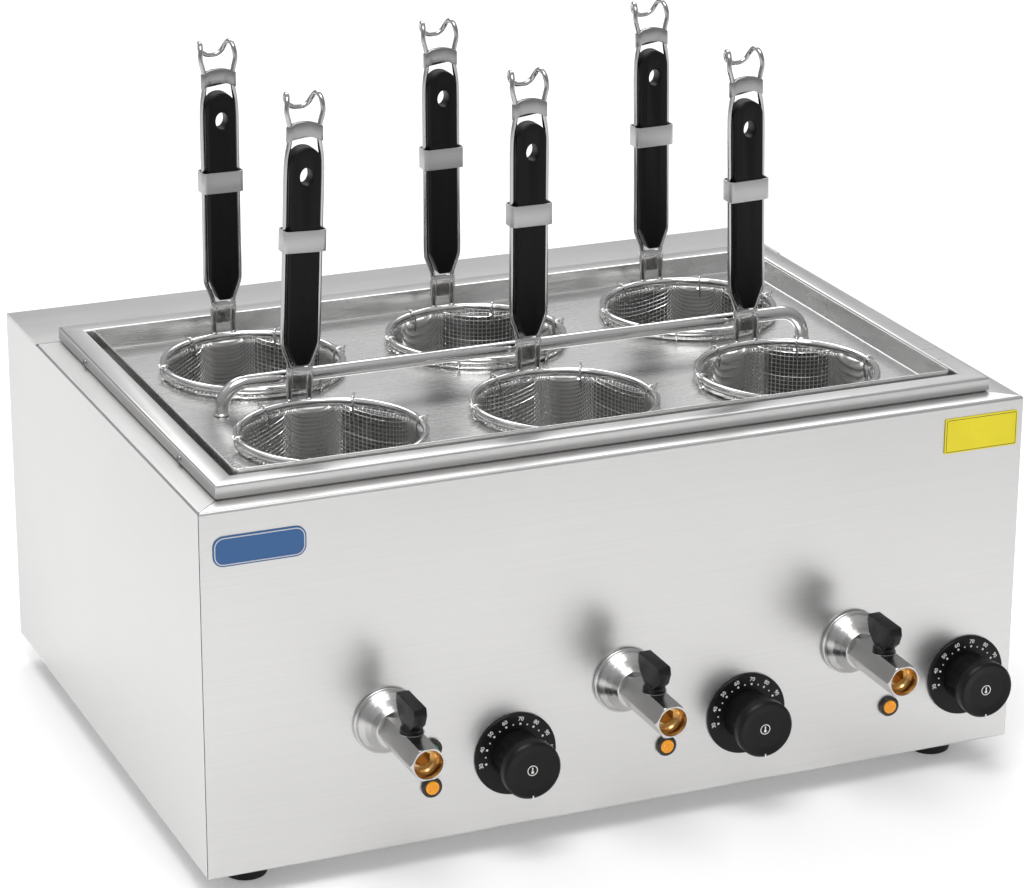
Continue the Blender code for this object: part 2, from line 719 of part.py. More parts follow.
def make_heating_element():
    """Bend one tube heater into a U and fuse it to its flange behind the basin."""
    front = BASIN_EDGE + ELEMENT_FRONT_ROOM
    flange_front = BASIN_REAR + GAP
    tail = flange_front + ELEMENT_FLANGE_THICKNESS + ELEMENT_TAIL
    reach = ELEMENT_HALF_WIDTH
    corners = []
    for side, start, sweep in ((-1, math.pi, math.pi / 2), (1, -math.pi / 2, math.pi / 2)):
        centre = (side * (reach - ELEMENT_BEND), front + ELEMENT_BEND)
        corners += arc_points(centre, ELEMENT_BEND, start, sweep, ARC_STEPS)
    route = [(-reach, tail)] + corners + [(reach, tail)]
    level = element_level()
    tube = wire([(x, y, level) for x, y in route], ELEMENT_RADIUS)
    margin = ELEMENT_FLANGE_MARGIN
    flange = box(
        (-reach - margin, flange_front, level - margin),
        (reach + margin, flange_front + ELEMENT_FLANGE_THICKNESS, level + margin),
    )
    return joined(flange, tube)


def basket_places():
    """Return the x and y of the six basket axes, front row first and left to right."""
    places = []
    for row in range(ROWS):
        for column in range(COLUMNS):
            x = (column - (COLUMNS - 1) / 2) * COLUMN_PITCH
            places.append((x, ROW_START + row * ROW_PITCH))
    return places


def make_tray():
    """Make the lift-out tray: a flat plate with an upturned edge and six basket holes."""
    low = (-HALF_WIDTH + TRAY_EDGE, TRAY_EDGE, PLATE_TOP - SHEET)
    high = (HALF_WIDTH - TRAY_EDGE, TRAY_REAR_INSIDE + SHEET, RIM_TOP + TRAY_LIP_PROUD)
    mesh = to_mesh(cup(low, high, TRAY_CORNER_RADIUS, SHEET, SHEET), "insert_tray")
    for x, y in basket_places():
        hole = cylinder(HOLE_RADIUS, PLATE_TOP - OVERRUN, PLATE_TOP + OVERRUN, HOLE_SEGMENTS)
        mesh = cut(mesh, moved(hole, (x, y, 0.0)))
    return mesh


def make_bail():
    """Bend the carrying bail that stands on the tray between the two rows of baskets."""
    corner = BAIL_HALF_SPAN - BAIL_BEND
    level = BAIL_HEIGHT - BAIL_BEND
    left = arc_points((-corner, level), BAIL_BEND, math.pi, -math.pi / 2, ARC_STEPS)
    right = arc_points((corner, level), BAIL_BEND, math.pi / 2, -math.pi / 2, ARC_STEPS)
    route = [(-BAIL_HALF_SPAN, GAP)] + left + right + [(BAIL_HALF_SPAN, GAP)]
    points = [(x, 0.0, z) for x, z in route]
    return to_mesh(wire(points, BAIL_TUBE_RADIUS, BAIL_SIDES), "bail_handle")


def bowl_outline(radius, bottom, corner):
    """Return half of a bowl's section from its wall down to its axis, as (radius, height)."""
    points = arc_points((radius - corner, bottom + corner), corner, 0.0, -math.pi / 2, CORNER_STEPS)
    return points + [(0.0, bottom)]


def make_bowl():
    """Turn one basket bowl: a deep round pot whose hoop rests on the tray round its hole."""
    outer = bowl_outline(BOWL_RADIUS, -BOWL_DEPTH, BOWL_CORNER_RADIUS)
    inner = bowl_outline(BOWL_RADIUS - BOWL_WALL, BOWL_WALL - BOWL_DEPTH, BOWL_CORNER_RADIUS - BOWL_WALL)
    hoop_outer = BOWL_RADIUS + HOOP_OVERLAP
    hoop_top = HOOP_LEVEL + HOOP_RADIUS
    profile = inner[::-1] + [
        (BOWL_RADIUS - BOWL_WALL, hoop_top),
        (hoop_outer - HOOP_EDGE, hoop_top),
        (hoop_outer, hoop_top - HOOP_EDGE),
        (hoop_outer, GAP),
        (BOWL_RADIUS, GAP),
    ] + outer
    return to_mesh(lathe(profile, BOWL_SEGMENTS), "bowl")


def make_ring():
    """Turn the main ring of a basket frame."""
    section = arc_points((RING_CENTRE_RADIUS, RING_LEVEL), RING_WIRE_RADIUS, 0.0, math.tau, WIRE_SIDES)
    return lathe(section[:-1], RING_SEGMENTS, closed=True)


def handle_route():
    """Return the route of the one wire that makes both handle sides and the hanging hook."""
    side = [
        (NECK_HALF_WIDTH, 0.0, RING_LEVEL + RING_WIRE_RADIUS / 2),
        (NECK_HALF_WIDTH, 0.0, NECK_TOP),
        (HANDLE_HALF_WIDTH, 0.0, FLARE_TOP),
        (HANDLE_HALF_WIDTH, 0.0, GRIP_TOP - GRIP_HALF_WIDTH),
        (BRIDGE_HALF_WIDTH, 0.0, BRIDGE_START),
        (BRIDGE_HALF_WIDTH, 0.0, BRIDGE_TOP),
    ]
    hook_half_width = BRIDGE_HALF_WIDTH + HOOK_BULGE
    hook = [
        (across * hook_half_width, back * HOOK_DEPTH, BRIDGE_TOP + up * HOOK_RISE)
        for across, back, up in HOOK_SHARES
    ]
    half = side + hook
    mirrored = [(-x, y, z) for x, y, z in half[-2::-1]]
    return [(x, y + HANDLE_PLACE, z) for x, y, z in half + mirrored]


def make_clamp():
    """Make the folded plate that ties the two wires together at the neck."""
    half_width = NECK_HALF_WIDTH + HANDLE_WIRE_RADIUS
    return box(
        (-half_width, HANDLE_PLACE - CLAMP_HALF_THICKNESS, CLAMP_START),
        (half_width, HANDLE_PLACE + CLAMP_HALF_THICKNESS, CLAMP_START + CLAMP_HEIGHT),
    )


def make_bridge():
    """Make the arched plate that joins the wires above the grip."""
    half_width = BRIDGE_HALF_WIDTH + HANDLE_WIRE_RADIUS + BAND_WALL
    lower = []
    upper = []
    for step in range(ARC_STEPS + 1):
        share = step / ARC_STEPS * 2 - 1
        rise = BRIDGE_ARCH * (1 - share * share)
        lower.append((share * half_width, BRIDGE_START + rise))
        upper.append((share * half_width, BRIDGE_START + BRIDGE_HEIGHT + rise))
    outline = lower + upper[::-1]
    half = BRIDGE_HALF_THICKNESS
    return prism(outline, HANDLE_PLACE - half, HANDLE_PLACE + half)


def make_band():
    """Make the flat band that wraps the grip and both wires."""
    half_width = HANDLE_HALF_WIDTH + HANDLE_WIRE_RADIUS + BAND_WALL
    half_depth = GRIP_THICKNESS / 2 + GAP + BAND_WALL
    low = GRIP_START + BAND_START
    high = low + BAND_HEIGHT
    outer = rounded_outline((-half_width, -half_depth), (half_width, half_depth), GRIP_EDGE_RADIUS)
    inner_half_width = GRIP_HALF_WIDTH + GAP
    inner_half_depth = GRIP_THICKNESS / 2 + GAP
    band = to_mesh(loft([[(x, y, z) for x, y in outer] for z in (low, high)]), "band")
    window = box(
        (-inner_half_width, -inner_half_depth, low - OVERRUN),
        (inner_half_width, inner_half_depth, high + OVERRUN),
    )
    band = cut(band, window)
    bm = bmesh.new()
    bm.from_mesh(band)
    bpy.data.meshes.remove(band)
    return moved(bm, (0.0, HANDLE_PLACE, 0.0))


def make_clip(index):
    """Bend one small wire clip from the ring's inner top down inside the bowl."""
    reach = RING_WIRE_RADIUS + GAP + CLIP_WIRE_RADIUS
    inner_radius = BOWL_CLEAR_RADIUS - GAP - CLIP_WIRE_RADIUS
    section = [
        (RING_CENTRE_RADIUS, RING_LEVEL),
        (RING_CENTRE_RADIUS - reach, RING_LEVEL + RING_WIRE_RADIUS),
        (inner_radius, RING_LEVEL + CLIP_SHOULDER),
        (inner_radius, RING_LEVEL - CLIP_LEG),
    ]
    bm = wire([(radius, 0.0, z) for radius, z in section], CLIP_WIRE_RADIUS, CLIP_SIDES)
    return turned(bm, (CLIP_START_SHARE + index / CLIP_COUNT) * math.tau, "Z")


def make_basket_frame():
    """Fuse a basket's ring, handle wires, hook, clamp, bridge, band and clips."""
    clips = [make_clip(index) for index in range(CLIP_COUNT)]
    handle = wire(handle_route(), HANDLE_WIRE_RADIUS)
    return joined(make_ring(), handle, make_clamp(), make_bridge(), make_band(), *clips)


def soften_outline(bm, axis, width):
    """Chamfer the edges round the two flat sides that face along an axis."""
    faces = [face for face in bm.faces if abs(face.normal.dot(axis)) > SQUARE_SHARE]
    bmesh.ops.bevel(
        bm,
        geom=list({edge for face in faces for edge in face.edges}),
        offset=width,
        offset_type="OFFSET",
        segments=1,
        profile=0.5,
        affect="EDGES",
        material=-1,
    )
    bmesh.ops.recalc_face_normals(bm, faces=bm.faces)


def make_grip():
    """Shape one grip with a domed top, a tapered foot, soft edges and its hanging hole."""
    dome = arc_points((0.0, GRIP_TOP - GRIP_HALF_WIDTH), GRIP_HALF_WIDTH, 0.0, math.pi, 2 * ARC_STEPS)
    foot = [
        (-GRIP_HALF_WIDTH, GRIP_START + GRIP_TAPER),
        (-GRIP_TIP_HALF_WIDTH, GRIP_START),
        (GRIP_TIP_HALF_WIDTH, GRIP_START),
        (GRIP_HALF_WIDTH, GRIP_START + GRIP_TAPER),
    ]
    half = GRIP_THICKNESS / 2
    bm = prism(foot + dome, -half, half)
    soften_outline(bm, Vector((0.0, 1.0, 0.0)), GRIP_EDGE_RADIUS)
    hole = []
    for step in range(SMALL_SEGMENTS):
        angle = math.tau * step / SMALL_SEGMENTS
        z = GRIP_TOP - HANG_HOLE_DROP + HANG_HOLE_HALF_HEIGHT * math.sin(angle)
        hole.append((HANG_HOLE_HALF_WIDTH * math.cos(angle), z))
    mesh = cut(to_mesh(bm, "grip"), prism(hole, -half - OVERRUN, half + OVERRUN))
    mesh.transform(Matrix.Translation((0.0, HANDLE_PLACE, 0.0)))
    return mesh


def make_tap_body():
    """Make one drain tap from its spigot in the basin to its outlet, with the axis on Y."""
    spigot_end = BASIN_EDGE + SHEET
    base = lathe(
        [
            (0.0, -spigot_end),
            (SPIGOT_RADIUS, -spigot_end),
            (SPIGOT_RADIUS, GAP),
            (FLANGE_RADIUS, GAP),
            (FLANGE_RADIUS, FLANGE_STEP / 2),
            (FLANGE_RADIUS - FLANGE_STEP / 2, FLANGE_STEP),
            ((FLANGE_RADIUS + DOME_TIP_RADIUS) / 2, DOME_LENGTH * DOME_SHOULDER_SHARE),
            (DOME_TIP_RADIUS, DOME_LENGTH),
            (0.0, DOME_LENGTH),
        ],
        ROUND_SEGMENTS,
    )
    body_end = DOME_LENGTH + BODY_LENGTH
    body = cylinder(BODY_RADIUS, DOME_LENGTH - WELD_DEPTH, body_end, HEX_SIDES)
    outlet = cylinder(OUTLET_RADIUS, body_end - WELD_DEPTH, body_end + OUTLET_LENGTH, ROUND_SEGMENTS)
    mesh = joined(turned_forward(base), turned_forward(body), turned_forward(outlet))
    bore = cylinder(BORE_RADIUS, TAP_REACH - BORE_DEPTH, TAP_REACH + OVERRUN, HEX_SIDES)
    stem_floor = body_flat() - LEVER_STEM_DEPTH - GAP
    stem_hole = cylinder(LEVER_STEM_RADIUS + GAP, stem_floor, BODY_RADIUS + OVERRUN)
    return cut(mesh, turned_forward(bore), moved(stem_hole, (0.0, -lever_place(), 0.0)))


def body_flat():
    """Return the height of the six-sided tap body's top flat above its axis."""
    return BODY_RADIUS * math.cos(math.pi / 6)


def lever_place():
    """Return how far the lever's axis stands in front of the panel."""
    return DOME_LENGTH + LEVER_SETBACK


def make_tap_lever():
    """Make one wing lever, with its turning axis on Z and z = 0 on the tap's axis."""
    seat = body_flat() + GAP
    collar_top = seat + LEVER_COLLAR_HEIGHT
    stem = lathe(
        [
            (0.0, body_flat() - LEVER_STEM_DEPTH),
            (LEVER_STEM_RADIUS, body_flat() - LEVER_STEM_DEPTH),
            (LEVER_STEM_RADIUS, seat),
            (LEVER_COLLAR_RADIUS, seat),
            (LEVER_COLLAR_RADIUS, collar_top),
            (0.0, collar_top),
        ],
        SMALL_SEGMENTS,
    )
    foot = collar_top - WELD_DEPTH
    half = [(along * LEVER_HALF_LENGTH, foot + up * LEVER_HEIGHT) for along, up in LEVER_SHARES]
    outline = half + [(-x, z) for x, z in reversed(half)]
    wing = turned(prism(outline, -LEVER_HALF_THICKNESS, LEVER_HALF_THICKNESS), math.pi / 2, "Z")
    soften_outline(wing, Vector((1.0, 0.0, 0.0)), LEVER_EDGE)
    return joined(stem, wing)


def make_dial():
    """Turn one dial plate with the hole of its spindle."""
    inner = SPINDLE_RADIUS + GAP
    edge = DIAL_THICKNESS / 3
    section = [
        (inner, GAP),
        (DIAL_RADIUS, GAP),
        (DIAL_RADIUS, GAP + DIAL_THICKNESS - edge),
        (DIAL_RADIUS - edge, GAP + DIAL_THICKNESS),
        (inner, GAP + DIAL_THICKNESS),
    ]
    return to_mesh(turned_forward(lathe(section, RING_SEGMENTS, closed=True)), "dial")


def make_knob():
    """Turn one thermostat knob with its dished face and the spindle behind it."""
    end = SHEET + GAP + SPINDLE_REACH
    face = KNOB_BACK + KNOB_LENGTH
    profile = [
        (0.0, -end),
        (SPINDLE_RADIUS, -end),
        (SPINDLE_RADIUS, KNOB_BACK),
        (KNOB_BASE_RADIUS, KNOB_BACK),
        (KNOB_BASE_RADIUS, KNOB_BACK + KNOB_LENGTH / 2),
        (KNOB_RADIUS, face - KNOB_EDGE),
        (KNOB_RADIUS - KNOB_EDGE, face),
        (KNOB_RADIUS - KNOB_RIM, face),
        (KNOB_RADIUS - KNOB_RIM - KNOB_DISH, face - KNOB_DISH),
        (0.0, face - KNOB_DISH),
    ]
    return to_mesh(turned_forward(lathe(profile, ROUND_SEGMENTS)), "knob")


def make_thermostat():
    """Make one thermostat body behind the panel, with the bore of its spindle."""
    front = SHEET + GAP
    half_width = THERMOSTAT_WIDTH / 2
    half_height = THERMOSTAT_HEIGHT / 2
    block = box((-half_width, front, -half_height), (half_width, front + THERMOSTAT_DEPTH, half_height))
    depth = SHEET + GAP + SPINDLE_REACH + GAP
    bore = turned_forward(cylinder(SPINDLE_RADIUS + GAP, -depth, 0.0))
    return cut(to_mesh(block, "thermostat"), bore)


def make_lamp():
    """Turn one pilot lamp: barrel, bezel and domed lens."""
    proud = GAP + BEZEL_PROUD
    profile = [
        (0.0, -SHEET - LAMP_BARREL_LENGTH),
        (LAMP_BARREL_RADIUS, -SHEET - LAMP_BARREL_LENGTH),
        (LAMP_BARREL_RADIUS, GAP),
        (BEZEL_RADIUS, GAP),
        (BEZEL_RADIUS, GAP + BEZEL_PROUD * BEZEL_EDGE_SHARE),
        (BEZEL_RADIUS - BEZEL_PROUD * (1 - BEZEL_EDGE_SHARE), proud),
        (LENS_RADIUS, proud),
        (LENS_RADIUS * LENS_SHOULDER_SHARES[0], proud + LENS_PROUD * LENS_SHOULDER_SHARES[1]),
        (0.0, proud + LENS_PROUD),
    ]
    return to_mesh(turned_forward(lathe(profile, SMALL_SEGMENTS)), "lamp")


def gland_place():
    """Return the place of the cable gland on the rear panel."""
    return (HALF_WIDTH - GLAND_INSET_X, CASE_DEPTH, GLAND_RISE)


def make_gland():
    """Turn the cable gland: stem through the panel, six-sided nut and domed cap with its bore."""
    start = -SHEET - GLAND_STEM_LENGTH
    tip = GLAND_REACH
    nut_end = GAP + GLAND_NUT_LENGTH
    stem = cylinder(GLAND_STEM_RADIUS, start, GAP + WELD_DEPTH, ROUND_SEGMENTS)
    nut = cylinder(GLAND_NUT_RADIUS, GAP, nut_end, HEX_SIDES)
    dome = lathe(
        [
            (0.0, nut_end - WELD_DEPTH),
            (GLAND_DOME_RADIUS, nut_end - WELD_DEPTH),
            (GLAND_DOME_RADIUS, (nut_end + tip) / 2),
            (GLAND_TIP_RADIUS, tip),
            (0.0, tip),
        ],
        ROUND_SEGMENTS,
    )
    bore = cylinder(GLAND_BORE_RADIUS, start - OVERRUN, tip + OVERRUN)
    mesh = cut(joined(nut, stem, dome), bore)
    mesh.transform(Matrix.Rotation(-math.pi / 2, 4, "X"))
    return mesh


def make_label(width, height, radius):
    """Make one thin blank plate with round corners, centred, its face to the front."""
    outline = rounded_outline((-width / 2, -height / 2), (width / 2, height / 2), radius, ARC_STEPS)
    return to_mesh(prism(outline, -GAP - LABEL_THICKNESS, -GAP), "label")


def add_case(case, finishes):
    """Add the folded panels, the bottom plate and the feet."""
    meshes = {
        "front_panel": make_front_panel(),
        "left_side_panel": make_side_panel(-1),
        "right_side_panel": make_side_panel(1),
        "rear_panel": make_rear_panel(),
        "bottom_plate": make_bottom_plate(),
    }
    for name, mesh in meshes.items():
        place(name, dress(mesh, name, finishes["brushed_steel"]), (0.0, 0.0, 0.0), case)
    foot = dress(make_foot(), "foot", finishes["foot_rubber"])
    for index, (x, y) in enumerate(foot_places(), start=1):
        place(f"foot_{index}", foot, (x, y, -FOOT_HEIGHT), case)


def add_tank(case, finishes):
    """Add the rim, the three basins and their heating elements."""
    rim = dress(make_tank_rim(), "tank_rim", finishes["brushed_steel"])
    place("tank_rim", rim, (0.0, 0.0, 0.0), case)
    element = dress(make_heating_element(), "heating_element", finishes["chrome"])
    for index, (x, station) in enumerate(zip(basin_places(), station_places()), start=1):
        basin = dress(make_basin(x, station + TAP_SHIFT), f"basin_{index}", finishes["tray_steel"])
        place(f"basin_{index}", basin, (x, 0.0, 0.0), case)
        place(f"heating_element_{index}", element, (x, 0.0, 0.0), case)


def add_insert(case, finishes):
    """Add the lift-out tray with its bail and the six baskets."""
    insert = add_empty("insert", (0.0, 0.0, 0.0), case)
    tray = dress(make_tray(), "insert_tray", finishes["tray_steel"])
    place("insert_tray", tray, (0.0, 0.0, 0.0), insert)
    bail = dress(make_bail(), "bail_handle", finishes["wire_steel"])
    place("bail_handle", bail, (0.0, BAIL_PLACE, PLATE_TOP), insert)
    frame = dress(make_basket_frame(), "basket_frame", finishes["wire_steel"])
    bowl = dress(make_bowl(), "basket_bowl", finishes["wire_steel"])
    grip = dress(make_grip(), "basket_grip", finishes["grip_plastic"])
    for index, (x, y) in enumerate(basket_places(), start=1):
        basket = add_empty(f"basket_{index}", (x, y, PLATE_TOP), insert)
        place(f"basket_{index}_frame", frame, (0.0, 0.0, 0.0), basket)
        place(f"basket_{index}_bowl", bowl, (0.0, 0.0, 0.0), basket)
        place(f"basket_{index}_grip", grip, (0.0, 0.0, 0.0), basket)


def add_controls(case, finishes):
    """Add the tap, lamps, dial, knob and thermostat of each station."""
    tap = dress(make_tap_body(), "tap_body", finishes["chrome"])
    lever = dress(make_tap_lever(), "tap_lever", finishes["control_plastic"])
    dial = dress(make_dial(), "dial", finishes["control_plastic"])
    knob = dress(make_knob(), "knob", finishes["control_plastic"])
    thermostat = dress(make_thermostat(), "thermostat", finishes["control_plastic"])
    amber = dress(make_lamp(), "amber_lamp", finishes["amber_lens"])
    green = dress(make_lamp(), "green_lamp", finishes["green_lens"])
    for index, x in enumerate(station_places(), start=1):
        place(f"tap_{index}_body", tap, (x + TAP_SHIFT, 0.0, TAP_RISE), case)
        place(f"tap_{index}_lever", lever, (x + TAP_SHIFT, -lever_place(), TAP_RISE), case)
        place(f"dial_{index}", dial, (x + DIAL_SHIFT, 0.0, DIAL_RISE), case)
        place(f"knob_{index}", knob, (x + DIAL_SHIFT, 0.0, DIAL_RISE), case)
        place(f"thermostat_{index}", thermostat, (x + DIAL_SHIFT, 0.0, DIAL_RISE), case)
        place(f"amber_lamp_{index}", amber, (x + LAMP_SHIFT, 0.0, AMBER_RISE), case)
        place(f"green_lamp_{index}", green, (x + LAMP_SHIFT, 0.0, GREEN_RISE), case)


def add_trim(case, finishes):
    """Add the cable gland and the two blank plates on the front."""
    gland = dress(make_gland(), "cable_gland", finishes["control_plastic"])
    place("cable_gland", gland, gland_place(), case)
    badge = make_label(BADGE_WIDTH, BADGE_HEIGHT, BADGE_CORNER_RADIUS)
    badge_x = -HALF_WIDTH + BADGE_INSET + BADGE_WIDTH / 2
    badge_z = CASE_TOP - BADGE_DROP - BADGE_HEIGHT / 2
    dress(badge, "front_badge", finishes["badge_blue"])
    place("front_badge", badge, (badge_x, 0.0, badge_z), case)
    plate = make_label(PLATE_WIDTH, PLATE_HEIGHT, PLATE_CORNER_RADIUS)
    plate_x = HALF_WIDTH - PLATE_INSET - PLATE_WIDTH / 2
    plate_z = CASE_TOP - PLATE_DROP - PLATE_HEIGHT / 2
    dress(plate, "info_plate", finishes["plate_yellow"])
    place("info_plate", plate, (plate_x, 0.0, plate_z), case)


def main():
    """Build the whole cooker."""
    clear_scene()
    finishes = make_materials()
    case = add_empty("case", (0.0, FRONT_PLACE, FOOT_HEIGHT))
    add_case(case, finishes)
    add_tank(case, finishes)
    add_insert(case, finishes)
    add_controls(case, finishes)
    add_trim(case, finishes)


main()
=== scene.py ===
"""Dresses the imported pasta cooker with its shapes, finishes, studio and camera.

Pieces are modelled in millimetres in the case frame: x from the middle of the case, y from its front
face and z from its lower edge. Workshop.finish puts each one into the row frame, in metres.
"""
import logging
import math
from dataclasses import dataclass
from enum import Enum
from typing import Any, Callable, Iterable, Optional, Sequence, Union

import bmesh
import bpy
from mathutils import Matrix, Vector


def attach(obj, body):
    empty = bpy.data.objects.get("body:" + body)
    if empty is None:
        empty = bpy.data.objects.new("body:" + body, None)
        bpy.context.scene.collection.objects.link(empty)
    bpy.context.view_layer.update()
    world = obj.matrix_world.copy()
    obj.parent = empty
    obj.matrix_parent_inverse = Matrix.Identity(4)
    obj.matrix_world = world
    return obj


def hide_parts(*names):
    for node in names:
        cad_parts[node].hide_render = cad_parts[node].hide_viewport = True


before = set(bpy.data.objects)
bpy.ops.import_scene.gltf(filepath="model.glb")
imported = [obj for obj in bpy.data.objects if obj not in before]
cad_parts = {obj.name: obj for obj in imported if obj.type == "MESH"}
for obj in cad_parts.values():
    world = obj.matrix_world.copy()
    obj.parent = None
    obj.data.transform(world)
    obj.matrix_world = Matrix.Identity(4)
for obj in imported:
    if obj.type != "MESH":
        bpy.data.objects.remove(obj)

LOG = logging.getLogger("pasta_cooker")
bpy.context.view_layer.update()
CASE_PLACE = (0.0, -0.1915, 0.018)
MM = 0.001
MERGE = 0.002
FRONT = Matrix.Rotation(math.pi / 2, 4, "X")
BACK = Matrix.Rotation(-math.pi / 2, 4, "X")
Point = tuple[float, ...]
Colour = tuple[float, float, float]


class Grain(Enum):
    """Which way a steel surface is brushed, as the stretch of its pattern in 1/m on each axis."""

    ALONG_X = (9.0, 900.0, 900.0)
    ALONG_Y = (900.0, 9.0, 900.0)
    EVEN = (420.0, 420.0, 420.0)


class Signal:
    """One output socket, with arithmetic that adds Math nodes."""

    def __init__(self, recipe: "Recipe", socket: bpy.types.NodeSocket) -> None:
        """Keep the socket and the recipe that it belongs to."""
        self.recipe = recipe
        self.socket = socket

    def _math(self, operation: str, first: Any, second: Any) -> "Signal":
        """Add one Math node."""
        return self.recipe.node("ShaderNodeMath", {"operation": operation}, {0: first, 1: second})

    def __add__(self, other: Any) -> "Signal":
        """Return the sum."""
        return self._math("ADD", self, other)

    def __radd__(self, other: Any) -> "Signal":
        """Return the sum."""
        return self._math("ADD", other, self)

    def __sub__(self, other: Any) -> "Signal":
        """Return the difference."""
        return self._math("SUBTRACT", self, other)

    def __rsub__(self, other: Any) -> "Signal":
        """Return the difference from a number."""
        return self._math("SUBTRACT", other, self)

    def __mul__(self, other: Any) -> "Signal":
        """Return the product."""
        return self._math("MULTIPLY", self, other)

    def __rmul__(self, other: Any) -> "Signal":
        """Return the product."""
        return self._math("MULTIPLY", other, self)


class Recipe:
    """Builds the node tree of one material."""

    def __init__(self, name: str) -> None:
        """Start a material with its Principled shader."""
        self.material = bpy.data.materials.new(name)
        self.material.use_nodes = True
        self.tree = self.material.node_tree
        self.shader = self.tree.nodes["Principled BSDF"]

    def node(
        self,
        kind: str,
        settings: Optional[dict[str, Any]] = None,
        inputs: Optional[dict[Union[int, str], Any]] = None,
        output: Union[int, str] = 0,
    ) -> Signal:
        """Add a node.

        Args:
            kind: the node's type.
            settings: its own properties, set before its sockets; "stops" fills a ramp.
            inputs: values or signals by socket.
            output: the socket that is returned.

        Returns:
            The chosen output as a signal.
        """
        made = self.tree.nodes.new(kind)
        for name, value in (settings or {}).items():
            if name == "stops":
                self.fill_ramp(made.color_ramp, value)
            else:
                setattr(made, name, value)
        for key, value in (inputs or {}).items():
            self.feed(made.inputs[key], value)
        return Signal(self, made.outputs[output])

    @staticmethod
    def fill_ramp(ramp: bpy.types.ColorRamp, stops: Sequence[tuple[float, Colour]]) -> None:
        """Give a ramp its stops."""
        while len(ramp.elements) < len(stops):
            ramp.elements.new(1.0)
        for element, (place, colour) in zip(ramp.elements, stops):
            element.position = place
            element.color = (*colour, 1.0)

    def feed(self, socket: bpy.types.NodeSocket, value: Any) -> None:
        """Link a signal to a socket, or set the socket's own value."""
        if isinstance(value, Signal):
            self.tree.links.new(value.socket, socket)
        else:
            socket.default_value = value

    def place(self) -> Signal:
        """Return the Object coordinates."""
        return self.node("ShaderNodeTexCoord", output="Object")

    def noise(self, stretch: Sequence[float], detail: float = 3.0) -> Signal:
        """Return noise from 0 to 1, stretched over the object's own coordinates.

        Args:
            stretch: repeats per metre on each axis.
            detail: octaves of the noise.

        Returns:
            The noise as a signal.
        """
        mapping = {"Vector": self.place(), "Scale": tuple(stretch)}
        mapped = self.node("ShaderNodeMapping", inputs=mapping)
        inputs = {"Vector": mapped, "Scale": 1.0, "Detail": detail, "Roughness": 0.6}
        return self.node("ShaderNodeTexNoise", inputs=inputs)

    def blend(self, mask: Any, first: Colour, second: Colour) -> Signal:
        """Mix two colours by a mask."""
        inputs = {"Factor": mask, "A": (*first, 1.0), "B": (*second, 1.0)}
        made = self.tree.nodes.new("ShaderNodeMix")
        made.data_type = "RGBA"
        for socket in made.inputs:
            if socket.name in inputs and (socket.type == "RGBA" or socket.name == "Factor"):
                if socket.enabled:
                    self.feed(socket, inputs[socket.name])
        result = next(socket for socket in made.outputs if socket.enabled)
        return Signal(self, result)

    def bump(self, height: Signal, strength: float, distance: float) -> None:
        """Feed a height to the shader's normal."""
        inputs = {"Height": height, "Strength": strength, "Distance": distance}
        self.feed(self.shader.inputs["Normal"], self.node("ShaderNodeBump", inputs=inputs))

    def shade(self, values: dict[str, Any]) -> bpy.types.Material:
        """Set the shader's sockets and return the material."""
        for name, value in values.items():
            self.feed(self.shader.inputs[name], value)
        return self.material


def tint(colour: Colour, share: float) -> Colour:
    """Return a colour made lighter or darker by a share."""
    return tuple(channel * share for channel in colour)


@dataclass(frozen=True)
class Steel:
    """Bare stainless steel, brushed or polished."""

    name: str
    colour: Colour = (0.66, 0.655, 0.65)
    roughness: float = 0.3
    grain: Grain = Grain.ALONG_X
    streak: float = 0.1
    cloud: float = 0.06
    bump: float = 0.12

    def make(self) -> bpy.types.Material:
        """Return the material."""
        recipe = Recipe(self.name)
        streaks = recipe.noise(self.grain.value, 4.0)
        clouds = recipe.noise((9.0, 9.0, 9.0), 2.0)
        tone = recipe.blend(streaks, tint(self.colour, 0.93), tint(self.colour, 1.05))
        rough = self.roughness + (streaks - 0.5) * self.streak + (clouds - 0.5) * self.cloud
        recipe.bump(streaks, self.bump, 0.00003)
        return recipe.shade({"Base Color": tone, "Roughness": rough, "Metallic": 1.0})


@dataclass(frozen=True)
class Plastic:
    """Moulded plastic or rubber with a fine grain."""

    name: str
    colour: Colour
    roughness: float = 0.4
    specular: float = 0.5
    grain: float = 1400.0
    bump: float = 0.15
    coat: float = 0.0

    def make(self) -> bpy.types.Material:
        """Return the material."""
        recipe = Recipe(self.name)
        grain = recipe.noise((self.grain,) * 3, 2.0)
        wear = recipe.noise((24.0, 24.0, 24.0), 3.0)
        tone = recipe.blend(wear, tint(self.colour, 0.85), tint(self.colour, 1.15))
        rough = self.roughness + (grain - 0.5) * 0.08 + (wear - 0.5) * 0.1
        recipe.bump(grain, self.bump, 0.00006)
        values = {"Base Color": tone, "Roughness": rough, "Specular IOR Level": self.specular}
        return recipe.shade({**values, "Coat Weight": self.coat})


@dataclass(frozen=True)
class Lens:
    """Coloured clear plastic of a pilot lamp, with a faint ripple in its tone."""

    name: str
    colour: Colour
    glow: float = 0.0

    def make(self) -> bpy.types.Material:
        """Return the material."""
        recipe = Recipe(self.name)
        ripple = recipe.noise((700.0, 700.0, 700.0), 2.0)
        tone = recipe.blend(ripple, tint(self.colour, 0.7), tint(self.colour, 1.2))
        recipe.bump(ripple, 0.1, 0.00005)
        values = {"Base Color": tone, "Roughness": 0.12, "Coat Weight": 0.6, "Emission Color": tone}
        return recipe.shade({**values, "Emission Strength": self.glow})


